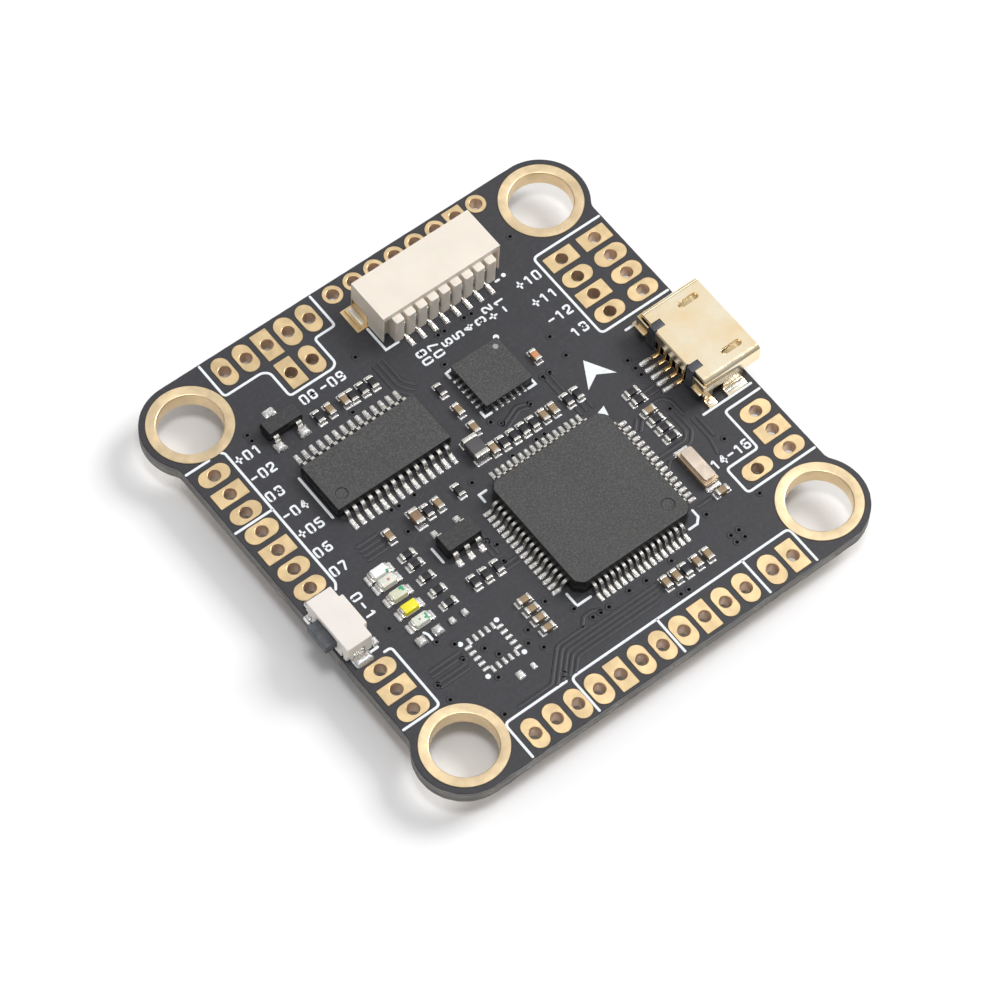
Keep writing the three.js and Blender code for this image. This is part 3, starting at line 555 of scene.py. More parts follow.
def dark_finish(name, colour, rough, shine):
    """A near-black finish with little gloss: package sides (painted shade on top of their smoother finish),
    dimples, via pits (painted shadow) and the sides of traces (painted shade).
    """
    n = Nodes(name)
    patch = n.noise(1.2, detail=3.0)
    fine = n.noise(9.0, detail=3.0)
    shade = n.blend(n.spread(patch, 0.0, 1.0), scaled(colour, 0.75), scaled(colour, 1.3))
    return n.finish(shade, n.spread(fine, rough - 0.08, rough + 0.08), (fine, 0.004),
                    Specular_IOR_Level=shine)


def moulded_nylon(name, colour):
    """Ivory socket moulding: matte, slightly translucent, with edges painted paler as a highlight."""
    n = Nodes(name)
    patch = n.noise(0.5, detail=3.0)
    grain = n.noise(13.0, detail=3.0)
    marks = n.noise(1.3, detail=6.0, roughness=0.75)
    shade = n.blend(n.spread(patch, 0.0, 1.0), scaled(colour, 0.96), scaled(colour, 1.02))
    shade = n.blend(n.spread(marks, 0.0, 0.5, 0.66, 0.76), shade, (0.42, 0.36, 0.30))
    # painted highlight: edges paled towards near-white
    shade = n.blend(n.edges(0.07), shade, (0.97, 0.94, 0.88))
    return n.finish(shade, n.spread(grain, 0.5, 0.64), (grain, 0.006), Subsurface_Weight=0.12,
                    Subsurface_Scale=0.6 * MM)


def silkscreen(name):
    """White ink, thin in places."""
    n = Nodes(name)
    grain = n.noise(16.0, detail=3.0)
    thin = n.noise(3.5, detail=4.0)
    shade = n.blend(n.spread(thin, 0.0, 0.5, 0.55, 0.8), (0.83, 0.86, 0.88), (0.5, 0.54, 0.57))
    return n.finish(shade, n.spread(grain, 0.5, 0.68), (grain, 0.006))


def ceramic(name, colour):
    """Capacitor ceramic: waxy brown, mottled, with fine cut lines."""
    n = Nodes(name)
    patch = n.noise(2.5, detail=3.0)
    lines = n.noise(9.0, detail=2.0, stretch=(0.3, 0.3, 3.0))
    shade = n.blend(n.spread(patch, 0.0, 1.0), scaled(colour, 0.82), scaled(colour, 1.15))
    return n.finish(shade, n.spread(lines, 0.34, 0.5), (lines, 0.004), (patch, 0.008))


def led_lens(name, colour, clear):
    """Cast epoxy over the die: glossy, a little cloudy."""
    n = Nodes(name)
    cloud = n.noise(1.8, detail=3.0)
    shade = n.blend(n.spread(cloud, 0.0, 1.0), scaled(colour, 0.93), scaled(colour, 1.04))
    return n.finish(shade, n.spread(cloud, 0.12, 0.24), (cloud, 0.02), Subsurface_Weight=clear,
                    Subsurface_Scale=0.4 * MM, Coat_Weight=0.4)


MAT = {
    "mask": solder_mask("solder_mask", (0.026, 0.026, 0.031)),
    "trace": solder_mask("masked_copper", (0.031, 0.031, 0.036)),
    "laminate": laminate_edge("laminate_edge"),
    "bare": mottled("bare_laminate", (0.030, 0.024, 0.018), 0.6, mottle=0.2),
    "gold": plated_gold("immersion_gold", (0.86, 0.65, 0.37), 0.36),
    "tin_film": plated_gold("tin_film", (0.93, 0.91, 0.87), 0.3),
    # painted light: the barrel gold is paler and pinker than the pads', for the light that reaches into the
    # holes
    "barrel": plated_gold("lit_plated_barrel", (0.88, 0.69, 0.55), 0.42, grain=8.0),
    "ring_gold": plated_gold("ring_gold", (0.89, 0.70, 0.44), 0.34, grain=3.0, scratch=1.0),
    "usb_gold": polished_gold("usb_gold", (1.0, 0.89, 0.67)),
    # painted shade: the USB contacts' gold is darker and browner than the rest, for the shade under the
    # shell
    "shaded_contact_gold": plated_gold("shaded_contact_gold", (0.62, 0.42, 0.20), 0.28),
    "spring_gold": plated_gold("spring_gold", (0.90, 0.70, 0.40), 0.26),
    "solder": solder("solder", (0.97, 0.96, 0.94)),
    "tin": solder("tinned_lead", (0.90, 0.87, 0.81)),
    "epoxy": chip_epoxy("chip_epoxy", (0.036, 0.036, 0.037)),
    "epoxy_smooth": chip_epoxy("small_chip_epoxy", (0.022, 0.022, 0.024), (0.08, 0.08, 0.08), 0.008),
    # package sides: near-black, partly their smoother finish, partly painted shade on faces turned from the
    # light
    "epoxy_side": dark_finish("chip_epoxy_side_shade", (0.010, 0.010, 0.011), 0.42, 0.3),
    "epoxy_dimple": dark_finish("chip_epoxy_dimple", (0.016, 0.016, 0.017), 0.5, 0.3),
    # painted shade: the sloping sides of traces and via rings are darker than the mask, as shadow lines
    "trace_flank": dark_finish("trace_flank", (0.017, 0.017, 0.020), 0.55, 0.35),
    "nylon": moulded_nylon("socket_nylon", (0.80, 0.73, 0.635)),
    "button_nylon": moulded_nylon("button_nylon", (0.80, 0.75, 0.70)),
    # slate and plunger below: their edges painted lighter, a painted highlight
    "slate": mottled("slate_plastic", (0.050, 0.055, 0.066), 0.46, mottle=0.25, grain=7.0, depth=0.012,
                     edge_highlight=(0.17, 0.18, 0.20)),
    "plunger": mottled("plunger_plastic", (0.070, 0.076, 0.084), 0.5, mottle=0.35, grain=6.0, depth=0.02,
                       edge_highlight=(0.20, 0.21, 0.22)),
    "silk": silkscreen("silkscreen_white"),
    "tan": ceramic("capacitor_tan", (0.30, 0.21, 0.115)),
    "brown": ceramic("capacitor_brown", (0.25, 0.155, 0.095)),
    "orange": ceramic("capacitor_orange", (0.56, 0.25, 0.11)),
    "resistor": mottled("resistor_glass", (0.018, 0.018, 0.021), 0.28, mottle=0.25, patch=4.0),
    "ferrite": mottled("ferrite", (0.075, 0.068, 0.072), 0.5, mottle=0.2, grain=9.0, depth=0.01),
    "lid": plated_gold("crystal_lid", (0.70, 0.59, 0.49), 0.36, grain=6.0, scratch=1.5),
    "lid_seam": plated_gold("crystal_seam", (0.80, 0.64, 0.46), 0.3),
    "frit": mottled("crystal_ceramic", (0.16, 0.12, 0.09), 0.55, mottle=0.2),
    "steel": mottled("spring_steel", (0.62, 0.61, 0.59), 0.3, metallic=1.0, mottle=0.08),
    # painted shadow: the via's dimple is a near-black disc standing in for the shade in the hole
    "via": dark_finish("via_pit_shadow", (0.003, 0.003, 0.003), 0.7, 0.0),
    # inductor: its edges painted lighter, a painted highlight
    "inductor": mottled("inductor_powder", (0.11, 0.11, 0.112), 0.6, mottle=0.25, patch=5.0, grain=16.0,
                        depth=0.02, edge_highlight=(0.22, 0.22, 0.22)),
    "led_base": mottled("led_base", (0.78, 0.76, 0.68), 0.45, mottle=0.06),
    "led_clear": led_lens("led_clear", (0.80, 0.78, 0.68), 0.25),
    "led_white": led_lens("led_white", (0.93, 0.93, 0.92), 0.15),
    "led_pale": led_lens("led_pale_green", (0.70, 0.70, 0.53), 0.2),
    "led_yellow": led_lens("led_yellow", (0.90, 0.80, 0.03), 0.0),
    "led_green": mottled("led_green_mark", (0.04, 0.36, 0.20), 0.4, mottle=0.1),
    "pin_mark": mottled("pin_mark_print", (0.30, 0.30, 0.31), 0.6, mottle=0.15),
    "led_red": mottled("led_red_die", (0.55, 0.22, 0.18), 0.4, mottle=0.1),
    "led_die": mottled("led_grey_die", (0.27, 0.26, 0.23), 0.4, mottle=0.15),
}


# ---------------------------------------------------------------- the board

def board_outline(steps=28):
    """A waist on each side between four lobes, one lobe round each mounting hole."""
    fillet_x = WAIST_X + WAIST_FILLET
    across = fillet_x - HOLE_OFFSET
    drop = math.sqrt((LOBE_RADIUS + WAIST_FILLET) ** 2 - across ** 2)
    meeting = math.degrees(math.atan2(drop, across))
    corner = arc(fillet_x, HOLE_OFFSET - drop, WAIST_FILLET, 180, 180 - meeting, 6)
    corner += arc(HOLE_OFFSET, HOLE_OFFSET, LOBE_RADIUS, -meeting, 90, steps)[1:]
    outline = []
    for sx, sy in ((1, 1), (-1, 1), (-1, -1), (1, -1)):
        turned = [(x * sx, y * sy) for x, y in corner]
        outline += turned if sx * sy > 0 else turned[::-1]
    return outline


ALONG_X, ALONG_Y = (1, 0), (0, 1)
LONG_Y, LONG_X = (1.36, 2.4), (2.4, 1.36)
# each row: first pad, count, direction, pad size, and which pads are square or wide
PAD_ROWS = {
    "rear": (-11.0, -17.36, 11, ALONG_X, LONG_Y, (4, 8), (3, 7)),
    "rear_end": (9.3, -17.36, 2, ALONG_X, LONG_Y, (1,), (0,)),
    "left": (-16.3, 0.23, 7, ALONG_Y, LONG_X, (2, 5), (3,)),
    "left_rear": (-16.3, -11.1, 3, ALONG_Y, LONG_X, (1,), ()),
    "right_inner": (13.39, 5.18, 4, ALONG_Y, LONG_X, (1, 3), ()),
    "right_outer": (16.34, 5.18, 4, ALONG_Y, LONG_X, (3,), (2,)),
    "right_rear": (16.33, -10.73, 3, ALONG_Y, LONG_X, (1,), ()),
    "right_rear_inner": (13.51, -10.73, 1, ALONG_Y, LONG_X, (), ()),
    "front": (-10.87, 17.25, 5, ALONG_X, LONG_Y, (2,), (3,)),
    "front_inner": (-7.27, 14.46, 2, ALONG_X, LONG_Y, (0,), ()),
    "front_edge": (-1.2, 17.8, 8, ALONG_X, (1.5, 1.5), (6,), ()),
}


def pads_of(row):
    """Each pad's place, size, and whether it is square."""
    first_x, first_y, count, step, size, square, wide = PAD_ROWS[row]
    for i in range(count):
        width, length = size
        if i in wide:
            width, length = width + 0.14, length + 0.06
        x, y = first_x + step[0] * PAD_PITCH * i, first_y + step[1] * PAD_PITCH * i
        yield x, y, width, length, i in square


def edge_relief(x, y, z):
    """How far the cut edge stands in from its line: rougher along the rear, where the panel was routed."""
    rough = 0.035 if y < -17 else 0.012
    waves = noise.noise(Vector((x * 1.9, y * 1.9, z * 5.0)))
    chips = noise.noise(Vector((x * 6, y * 6, z * 9)))
    return rough * (waves + 0.6 * chips - 0.7)


def subdivided(outline, longest):
    """The closed outline with points added so that no side is longer than that."""
    out = []
    for i, point in enumerate(outline):
        here, after = Vector(point), Vector(outline[(i + 1) % len(outline)])
        parts = max(1, math.ceil((after - here).length / longest))
        out += [tuple(here.lerp(after, k / parts)) for k in range(parts)]
    return out


def circuit_board():
    """Both faces with their drilled holes, eased rims, and a cut edge as rough as routed laminate is."""
    ease = 0.04
    film = 0.07  # the mask folds over the edge this far down
    rim = subdivided(board_outline(), 0.35)
    core = [BOTTOM + film + (TOP - BOTTOM - 2 * film) * k / 6 for k in range(7)]
    heights = [BOTTOM + ease, *core, TOP - ease]
    solid = Solid()
    levels = [ring_at(offset(rim, -ease - 0.01), BOTTOM)]
    for z in heights:
        reach = [edge_relief(x, y, z) for x, y in rim]
        outward = offset(rim, 1.0)
        levels.append([(x + (ox - x) * r, y + (oy - y) * r, z)
                       for (x, y), (ox, oy), r in zip(rim, outward, reach)])
    levels.append(ring_at(offset(rim, -ease - 0.01), TOP))
    for low, high, finish in ((0, 3, 0), (2, len(levels) - 2, 1), (len(levels) - 3, len(levels), 0)):
        loft(solid, levels[low:high], finish, cap_start=False, cap_end=False)
    holes = [circle(MOUNT_DRILL, 64, sx * HOLE_OFFSET, sy * HOLE_OFFSET) for sx, sy in CORNERS.values()]
    for row in PAD_ROWS:
        holes += [circle(DRILL_RADIUS, 20, x, y) for x, y, *_ in pads_of(row)]
    for hole in holes:
        loft(solid, [ring_at(hole, TOP), ring_at(hole, BOTTOM)], 1, cap_start=False, cap_end=False)
    for z in (BOTTOM, TOP):
        solid.add(*flat_sheet([(x, y) for x, y, _ in levels[0]], holes, z))
    make("circuit_board", solid, "mask laminate", slot="solder_mask", replaces=["pcb"], smooth=30)


def pad_edge(width, length, square):
    """The pad's outline with points close enough together for a round hole inside it."""
    corner = 0.07 if square else min(width, length) / 2
    return subdivided(rounded_rectangle(width, length, corner, 3 if square else 9), 0.16)


def plated_pad(width, length, square):
    """Copper on both faces joined by a plated barrel, as one closed solid round the hole."""
    edge = pad_edge(width, length, square)
    angles = [math.atan2(y, x) for x, y in edge]
    rim, ease, sunk = 0.05, 0.015, 0.01
    up, down = TOP + COPPER, BOTTOM - COPPER

    def outer(inset, z):
        return ring_at(offset(edge, -inset), z)

    def inner(radius, z):
        return [(radius * math.cos(a), radius * math.sin(a), z) for a in angles]

    rings = [
        outer(0, TOP - sunk), outer(0, up - ease), outer(ease, up),
        inner(HOLE_RADIUS + rim, up), inner(HOLE_RADIUS + rim * 0.3, up - rim * 0.4),
        inner(HOLE_RADIUS, up - rim * 1.4), inner(HOLE_RADIUS, down + rim * 1.4),
        inner(HOLE_RADIUS + rim * 0.3, down + rim * 0.4), inner(HOLE_RADIUS + rim, down),
        outer(ease, down), outer(0, down + ease), outer(0, BOTTOM + sunk),
        inner(DRILL_RADIUS + 0.02, BOTTOM + sunk), inner(DRILL_RADIUS + 0.02, TOP - sunk),
    ]
    barrel = 5
    return closed_loops(rings, [1 if r == barrel else 0 for r in range(len(rings))])


def mask_gap(width, length, square):
    """The strip of bare laminate between a pad and the mask round it, one thin ring per face."""
    edge = pad_edge(width, length, square)
    solid = Solid()
    for low, high in ((level - GAP_DEPTH, level + GAP_DEPTH) for level in (TOP, BOTTOM)):
        rings = [ring_at(offset(edge, reach), z)
                 for reach, z in ((0.055, low), (0.055, high), (-0.02, high), (-0.02, low))]
        solid.join(closed_loops(rings, [0] * 4))
    return solid


def wire_pads():
    """Rows of plated pads, and the bare strips round them all."""
    gaps = Solid()
    for row in PAD_ROWS:
        pads = Solid()
        for x, y, width, length, square in pads_of(row):
            pads.join(plated_pad(width, length, square), at=(x, y, 0))
            gaps.join(mask_gap(width, length, square), at=(x, y, 0))
        make(f"wire_pads_{row}", pads, "gold barrel", slot="gold_plating", smooth=25)
    make("pad_mask_gaps", gaps, "bare")


def mount_rings():
    """The plated ring and barrel of each mounting hole, with rounded rims."""
    inner, outer, plating = 2.33, 3.07, 0.06
    rim, ease, sunk = 0.09, 0.02, 0.01
    profile = []
    for sign, body in ((1, TOP), (-1, BOTTOM)):
        face = body + sign * plating
        side = [(outer, body - sign * sunk), (outer, face - sign * ease), (outer - ease, face)]
        side += [(inner + rim * (1 - math.sin(a)), face - sign * rim * (1 - math.cos(a)))
                 for a in (math.pi / 2 * k / 5 for k in range(6))]
        profile.append(side)
    wall = [(inner + plating, BOTTOM + sunk), (inner + plating, TOP - sunk)]
    closed = profile[0] + profile[1][::-1] + wall
    low, high = TOP - GAP_DEPTH, TOP + 0.005
    gap = [(outer - 0.02, low), (outer + 0.07, low), (outer + 0.07, high), (outer - 0.02, high)]
    gaps = Solid()
    for corner, (sx, sy) in CORNERS.items():
        at = (sx * HOLE_OFFSET, sy * HOLE_OFFSET, 0)
        ring = Solid().join(lathe(closed[::-1]), at=at)
        make(f"mount_ring_{corner}", ring, "ring_gold", slot="gold_plating",
             replaces=[f"mount_plating_{corner}"])
        gaps.join(lathe(gap), at=at)
    make("ring_mask_gaps", gaps, "bare")


# ---------------------------------------------------------------- silkscreen, legends and traces

PRINT_LEVELS = (TOP - BURIED, TOP + SILK_HEIGHT)


def stroke(solid, points, width=SILK_WIDTH, radius=0.0, levels=PRINT_LEVELS, crown=0.8, flank=0):
    """A printed or etched line: a low swept section with rounded ends, its flanks in their own material."""
    path = [Vector(p) for p in (rounded_path(points, radius) if radius else points)]
    half = width / 2
    low, high = levels
    sides = list(left_sides(path))
    start, end = (path[0] - path[1]).normalized(), (path[-1] - path[-2]).normalized()
    cap = [math.pi / 2 * k / 4 for k in range(4)]
    stations = [(path[0] + start * half * math.cos(a), sides[0], math.sin(a)) for a in cap]
    stations += [(here, side, 1.0) for here, side in zip(path, sides)]
    stations += [(path[-1] + end * half * math.cos(a), sides[-1], math.sin(a)) for a in cap[::-1]]
    rings = []
    for centre, side, share in stations:
        reach = side * half * max(share, 0.08)
        rings.append([(*(centre + reach), low), (*(centre + reach * crown), high),
                      (*(centre - reach * crown), high), (*(centre - reach), low)])
    first = len(solid.materials)
    loft(solid, rings)
    for quad in range(len(rings) - 1):
        for side in (0, 2):
            solid.materials[first + 4 * quad + side] = flank


# outlines of the pad groups, on both faces
PAD_GROUP_LINES = [
    # left edge
    ([(-14.9, 12.2), (-14.7, 12.0), (-14.7, -0.5), (-15.0, -0.9)], 0.2),
    ([(-17.8, 12.2), (-15.9, 12.2)], 0),
    ([(-17.8, 6.55), (-14.8, 6.55)], 0),
    ([(-15.25, -6.6), (-14.7, -6.6), (-14.7, -11.95), (-17.75, -11.95)], 0.4),
    # rear edge
    ([(-12.2, -18.6), (-12.2, -15.6), (-7.0, -15.6)], 0.4),
    ([(-6.6, -18.6), (-6.6, -15.6), (12.2, -15.6), (12.2, -18.6)], 0.4),
    ([(0.7, -18.6), (0.7, -15.7)], 0),
    ([(8.1, -18.6), (8.1, -15.7)], 0),
    # right edge
    ([(17.7, -5.9), (14.6, -5.9), (14.6, -9.5), (11.8, -9.5), (11.8, -11.8), (17.7, -11.8)], 0.3),
    ([(17.7, 11.8), (11.8, 11.8), (11.8, 4.1), (17.7, 4.1)], 0.4),
    # front edge
    ([(-12.05, 18.6), (-12.05, 15.65), (-8.9, 15.65), (-8.45, 15.3), (-8.45, 13.0), (-4.75, 13.0),
      (-4.35, 13.3), (-4.35, 15.7), (-2.55, 15.7), (-2.55, 18.6)], 0.3),
]
# marks beside the parts of the top face
PART_LINES = [
    # boot button and USB socket
    ([(-16.2, -6.05), (-15.4, -6.05)], 0),
    ([(13.3, -5.22), (17.5, -5.22)], 0),
    ([(13.3, 3.3), (17.5, 3.3)], 0),
    # socket, video chip and motion sensor
    ([(-0.95, 14.1), (-0.95, 12.0), (0.1, 12.0)], 0),
    ([(8.55, 11.85), (8.8, 11.85)], 0),
    ([(-11.85, 3.6), (-11.85, 7.4)], 0),
    ([(1.2, 4.1), (1.2, 3.65), (1.75, 3.65)], 0),
    ([(5.0, 3.65), (5.6, 3.65), (5.6, 4.1)], 0),
    ([(1.2, 7.55), (1.2, 8.0), (1.65, 8.05)], 0),
    # processor
    ([(-2.9, -1.6), (-2.9, -0.95), (-2.3, -0.95)], 0),
    ([(-2.9, -10.5), (-2.9, -11.6), (-1.75, -11.6)], 0),
    ([(7.9, -10.6), (7.9, -11.2), (7.5, -11.6), (6.8, -11.6)], 0),
    # between the two test pads under the lights, and beside the linear regulator
    ([(-12.3, -7.05), (-12.15, -7.3), (-12.15, -7.8)], 0.1),
    ([(-8.0, -2.35), (-8.0, -3.6)], 0),
]
SILK_DOTS = [(9.3, 11.95, 0.17), (5.75, 8.25, 0.22), (-10.9, -9.2, 0.19), (-7.85, -9.2, 0.19),
             (-10.9, -12.2, 0.19), (-7.85, -12.2, 0.19)]
ARROW = [(9.4, 3.15), (8.2, 1.05), (9.42, 1.72), (10.65, 1.0)]
PROCESSOR_CORNER = [(8.25, -0.55), (7.55, -0.75), (8.05, -1.35)]

GLYPHS = {
    "0": [[(0.5, 0), (0, 0), (0, 1), (1, 1), (1, 0), (0.5, 0)]],
    "1": [[(0.15, 0.8), (0.6, 1), (0.6, 0)]],
    "2": [[(0, 0.8), (0, 1), (1, 1), (1, 0.55), (0, 0.2), (0, 0), (1, 0)]],
    "3": [[(0, 0.85), (0, 1), (1, 1), (1, 0.53), (0.35, 0.53)],
          [(0.35, 0.53), (1, 0.53), (1, 0), (0, 0), (0, 0.15)]],
    "4": [[(0.75, 0), (0.75, 1), (0, 0.32), (1, 0.32)]],
    "5": [[(1, 1), (0, 1), (0, 0.56), (1, 0.56), (1, 0), (0, 0), (0, 0.12)]],
    "6": [[(0.9, 1), (0, 1), (0, 0), (1, 0), (1, 0.55), (0, 0.55)]],
    "7": [[(0, 1), (1, 1), (0.35, 0)]],
    "8": [[(0.5, 0.53), (0, 0.53), (0, 1), (1, 1), (1, 0.53), (0.5, 0.53)],
          [(0.5, 0.53), (0, 0.53), (0, 0), (1, 0), (1, 0.53), (0.5, 0.53)]],
    "9": [[(0.1, 0), (1, 0), (1, 1), (0, 1), (0, 0.45), (1, 0.45)]],
    "+": [[(0, 0.5), (1, 0.5)], [(0.5, 0.1), (0.5, 0.9)]],
    "-": [[(0.05, 0.5), (0.95, 0.5)]],
}
# text, left end and middle height, turn in degrees, and the distance from one figure to the next
LEGENDS = [
    ("+01", -14.45, 11.0, 0, 0.72), ("-02", -14.45, 9.25, 0, 0.72), ("03", -14.45, 7.45, 0, 0.78),
    ("-04", -14.45, 5.6, 0, 0.72), ("+05", -14.45, 3.85, 0, 0.72), ("06", -14.45, 2.05, 0, 0.78),
    ("07", -14.45, 0.25, 0, 0.78), ("08", -8.05, 12.2, 0, 0.72), ("-09", -6.4, 12.2, 0, 0.74),
    ("+10", 9.5, 10.6, 0, 0.72), ("+11", 9.5, 8.8, 0, 0.72), ("-12", 9.5, 7.05, 0, 0.72),
    ("13", 10.2, 5.3, 0, 0.78), ("14-16", 11.2, -8.75, 0, 0.68), ("0-1", -14.25, -2.0, -90, 0.8),
    ("08", 0.8, 9.35, 90, 0.74), ("07", 1.8, 9.35, 90, 0.74), ("6", 2.8, 9.75, 90, 0.74),
    ("5", 3.75, 9.75, 90, 0.74), ("4", 4.7, 9.75, 90, 0.74), ("3", 5.7, 9.75, 90, 0.74),
    ("+2", 6.65, 9.5, 90, 0.74), ("-1", 7.65, 9.5, 90, 0.74),
]
FIGURE_WIDTH, FIGURE_HEIGHT, FIGURE_STROKE = 0.4, 0.66, 0.165


def legend(solid, text, x, y, turn, advance):
    """Figures that start at (x, y), whose y is the middle of their height, read along the turn."""
    c, s = math.cos(math.radians(turn)), math.sin(math.radians(turn))
    for i, figure in enumerate(text):
        for line in GLYPHS[figure]:
            flat = [(FIGURE_WIDTH * u + advance * i, FIGURE_HEIGHT * (v - 0.5)) for u, v in line]
            path = rounded_path(flat, 0.13, 3)
            placed = [(x + c * a - s * b, y + s * a + c * b) for a, b in path]
            stroke(solid, placed, FIGURE_STROKE)


def silkscreen_top():
    """Lines, dots and arrow heads in one piece, and the figures in another."""
    lines = Solid()
    for points, radius in PAD_GROUP_LINES + PART_LINES:
        stroke(lines, points, radius=radius)
    for x, y, radius in SILK_DOTS:
        prism(lines, circle(radius, 20, x, y), *PRINT_LEVELS)
    for shape in (ARROW, PROCESSOR_CORNER):
        prism(lines, shape, *PRINT_LEVELS)
    make("silkscreen_lines_top", lines, "silk")
    figures = Solid()
    for text, x, y, turn, advance in LEGENDS:
        legend(figures, text, x, y, turn, advance)
    make("silkscreen_figures_top", figures, "silk")


VIAS = [
    (-13.95, -5.4), (-13.95, -10.7), (-13.95, -12.05), (-12.05, -8.1), (-11.2, -8.95), (-11.45, -10.2),
    (-9.8, -10.4), (-9.3, -11.3), (-10.4, -12.65), (-6.65, -11.05), (-7.25, -11.85), (-6.6, -12.7),
    (-4.4, -10.05), (-3.2, -11.65), (-11.75, -15.05), (-6.8, -15.1), (-4.7, -4.1), (-4.3, -4.7),
    (-4.7, -5.95), (-2.6, -12.9), (-1.95, -12.95), (-1.25, -12.95), (0.6, -12.8), (2.0, -12.9),
    (4.3, -12.75), (3.2, -15.1), (3.85, -15.15), (8.75, -13.65), (9.45, -13.65), (8.75, -14.3),
    (9.45, -14.3), (8.45, -11.4),
    (12.4, -12.3), (13.2, -7.55), (11.75, -3.45), (11.85, 1.3), (11.9, 0.5), (11.9, -0.15), (-12.65, 12.25),
    (-12.65, 11.7), (-3.0, 12.8), (-5.8, 9.4), (-8.45, -0.3), (-2.7, 0.1), (0.8, 0.1), (2.9, 0.15),
    (3.6, 0.15), (1.25, 3.1), (1.8, 2.55), (4.3, 2.6), (6.35, 3.8), (6.95, 3.8), (8.75, 6.05), (8.7, 4.2),
    (1.55, 8.65), (2.65, 10.8), (3.2, 10.8), (4.95, 10.85), (5.55, 10.8), (11.65, 14.2), (-8.35, 1.7),
    (-7.75, 1.65), (-6.4, 1.7),
]
VIA_RADIUS, VIA_DRILL = 0.3, 0.11
TRACE_HEIGHT = 0.03


def via_mark(solid, x, y, top, sign):
    """A tented via: a low ring of mask, its slopes in the painted-shade flank finish, round a dimple
    painted near-black as its shadow.
    """
    high = top + sign * TRACE_HEIGHT
    low = top - sign * BURIED
    profile = [(VIA_RADIUS, low), (VIA_RADIUS - 0.05, high), (VIA_DRILL + 0.05, high), (VIA_DRILL, low)]
    rings = [ring_at(circle(radius, 20), z) for radius, z in profile]
    solid.join(closed_loops(rings, [2, 0, 2, 0]), at=(x, y, 0))
    prism(solid, circle(VIA_DRILL, 12, x, y), *sorted((low, top + sign * 0.003)), material=1)


def traces_top():
    solid = Solid()
    for x, y in VIAS:
        via_mark(solid, x, y, TOP, 1)
    for line in top_traces():
        stroke(solid, line, TRACE_WIDTH, TRACE_BEND, (TOP - BURIED, TOP + TRACE_HEIGHT), 0.72, flank=2)
    make("traces_and_vias_top", solid, "trace via trace_flank", slot="solder_mask")


TRACE_WIDTH, TRACE_BEND = 0.33, 0.25
# points, lines side by side, and their spacing; each further line lies to the right of the one before
TRACE_RUNS = [
    ([(-13.8, -9.6), (-11.3, -9.6)], 2, 0.4), ([(-13.8, -10.55), (-11.5, -10.55)], 2, 0.4),
    ([(-10.6, -15.2), (-7.9, -15.2), (-5.85, -13.15), (-3.4, -13.15)], 1, 0),
    ([(-3.55, -13.0), (-3.1, -12.5), (-2.3, -12.5), (-1.85, -12.75)], 1, 0),
    ([(8.75, -6.0), (11.0, -6.0), (11.5, -5.5), (11.5, -3.95)], 2, 0.42),
    ([(8.6, -7.15), (9.15, -6.65), (9.5, -6.65)], 1, 0), ([(8.75, -3.35), (9.35, -2.75)], 2, 0.42),
    ([(11.15, -1.35), (12.0, -1.35)], 2, 0.42),
    ([(11.1, -2.4), (11.7, -2.4), (12.2, -2.9), (12.2, -4.3)], 1, 0),
    ([(12.45, -5.0), (12.45, -6.9), (12.15, -8.1)], 1, 0), ([(12.85, -5.1), (12.85, -6.8)], 1, 0),
    ([(8.4, -10.6), (9.5, -10.6)], 1, 0), ([(-4.9, -6.2), (-3.9, -6.2)], 2, 0.4),
    ([(-11.9, 0.8), (-10.3, 0.8)], 4, 0.42), ([(-1.6, 11.4), (-1.6, 9.4), (-1.0, 8.6)], 3, 0.44),
    ([(6.85, 3.5), (6.85, 2.1)], 2, 0.45), ([(7.6, 0.5), (7.6, -0.1)], 3, 0.5),
    ([(1.8, 2.4), (3.4, 3.05), (4.2, 2.75)], 2, 0.36), ([(-4.6, -3.4), (-4.6, -5.2)], 2, 0.42),
    ([(9.3, 13.9), (9.3, 15.6), (10.1, 16.6)], 2, 0.45),
]


def side_by_side(points, count, spacing):
    """Lines along the same bends, each one spacing to the right of the last."""
    path = [Vector(p) for p in points]
    for k in range(count):
        yield [tuple(here - side * spacing * k) for here, side in zip(path, left_sides(path))]


def top_traces():
    """Runs of masked copper; the rear bundle turns down together and stops short of the white line."""
    lines = [line for run in TRACE_RUNS for line in side_by_side(*run)]
    for k in range(1, 5):
        y = -13.15 - 0.37 * k
        lines.append([(-8.1 + 0.52 * k, -15.4), (-5.85 + 0.15 * k, y), (2.8 - 0.3 * k, y)])
    return lines


# ---------------------------------------------------------------- leads, solder and moulded chips

STANDOFF = 0.08
DRAFT = 0.1


def mound(width, length, height, material=0, corner=None):
    """Solder that has drawn up into a low crown over its pad."""
    small = min(width, length)
    steps = [(0, 0.0), (0, 0.12), (0.06, 0.5), (0.16, 0.82), (0.28, 0.97), (0.4, 1.0)]
    rings = [ring_at(inset_rectangle(width, length, corner or small * 0.3, small * inset), height * up)
             for inset, up in steps]
    return loft(Solid(), rings, material)


def wedge(width, reach, height, material=0):
    """A concave fillet that runs down from height at y = 0 to the pad at y = reach."""
    curve = [(0.0, 1.0), (0.1, 0.66), (0.24, 0.4), (0.45, 0.22), (0.7, 0.12), (1.0, 0.07), (1.0, 0.0),
             (-0.15, 0.0), (-0.15, 1.0)]
    return profile_strip([(reach * a, height * b) for a, b in curve][::-1], width, 0.03, material)


def gull_lead(reach, overhang, rise, thickness, width):
    """A formed lead from inside the body at y = reach out to its foot, with bent knees."""
    half = thickness / 2
    path = rounded_path([
        (reach - 0.12, rise), (reach + overhang * 0.3, rise), (reach + overhang * 0.5, half),
        (reach + overhang, half),
    ], min(0.17, rise * 0.4), 4)
    return profile_strip(ribbon_outline(path, thickness, 3), width, 0.018)


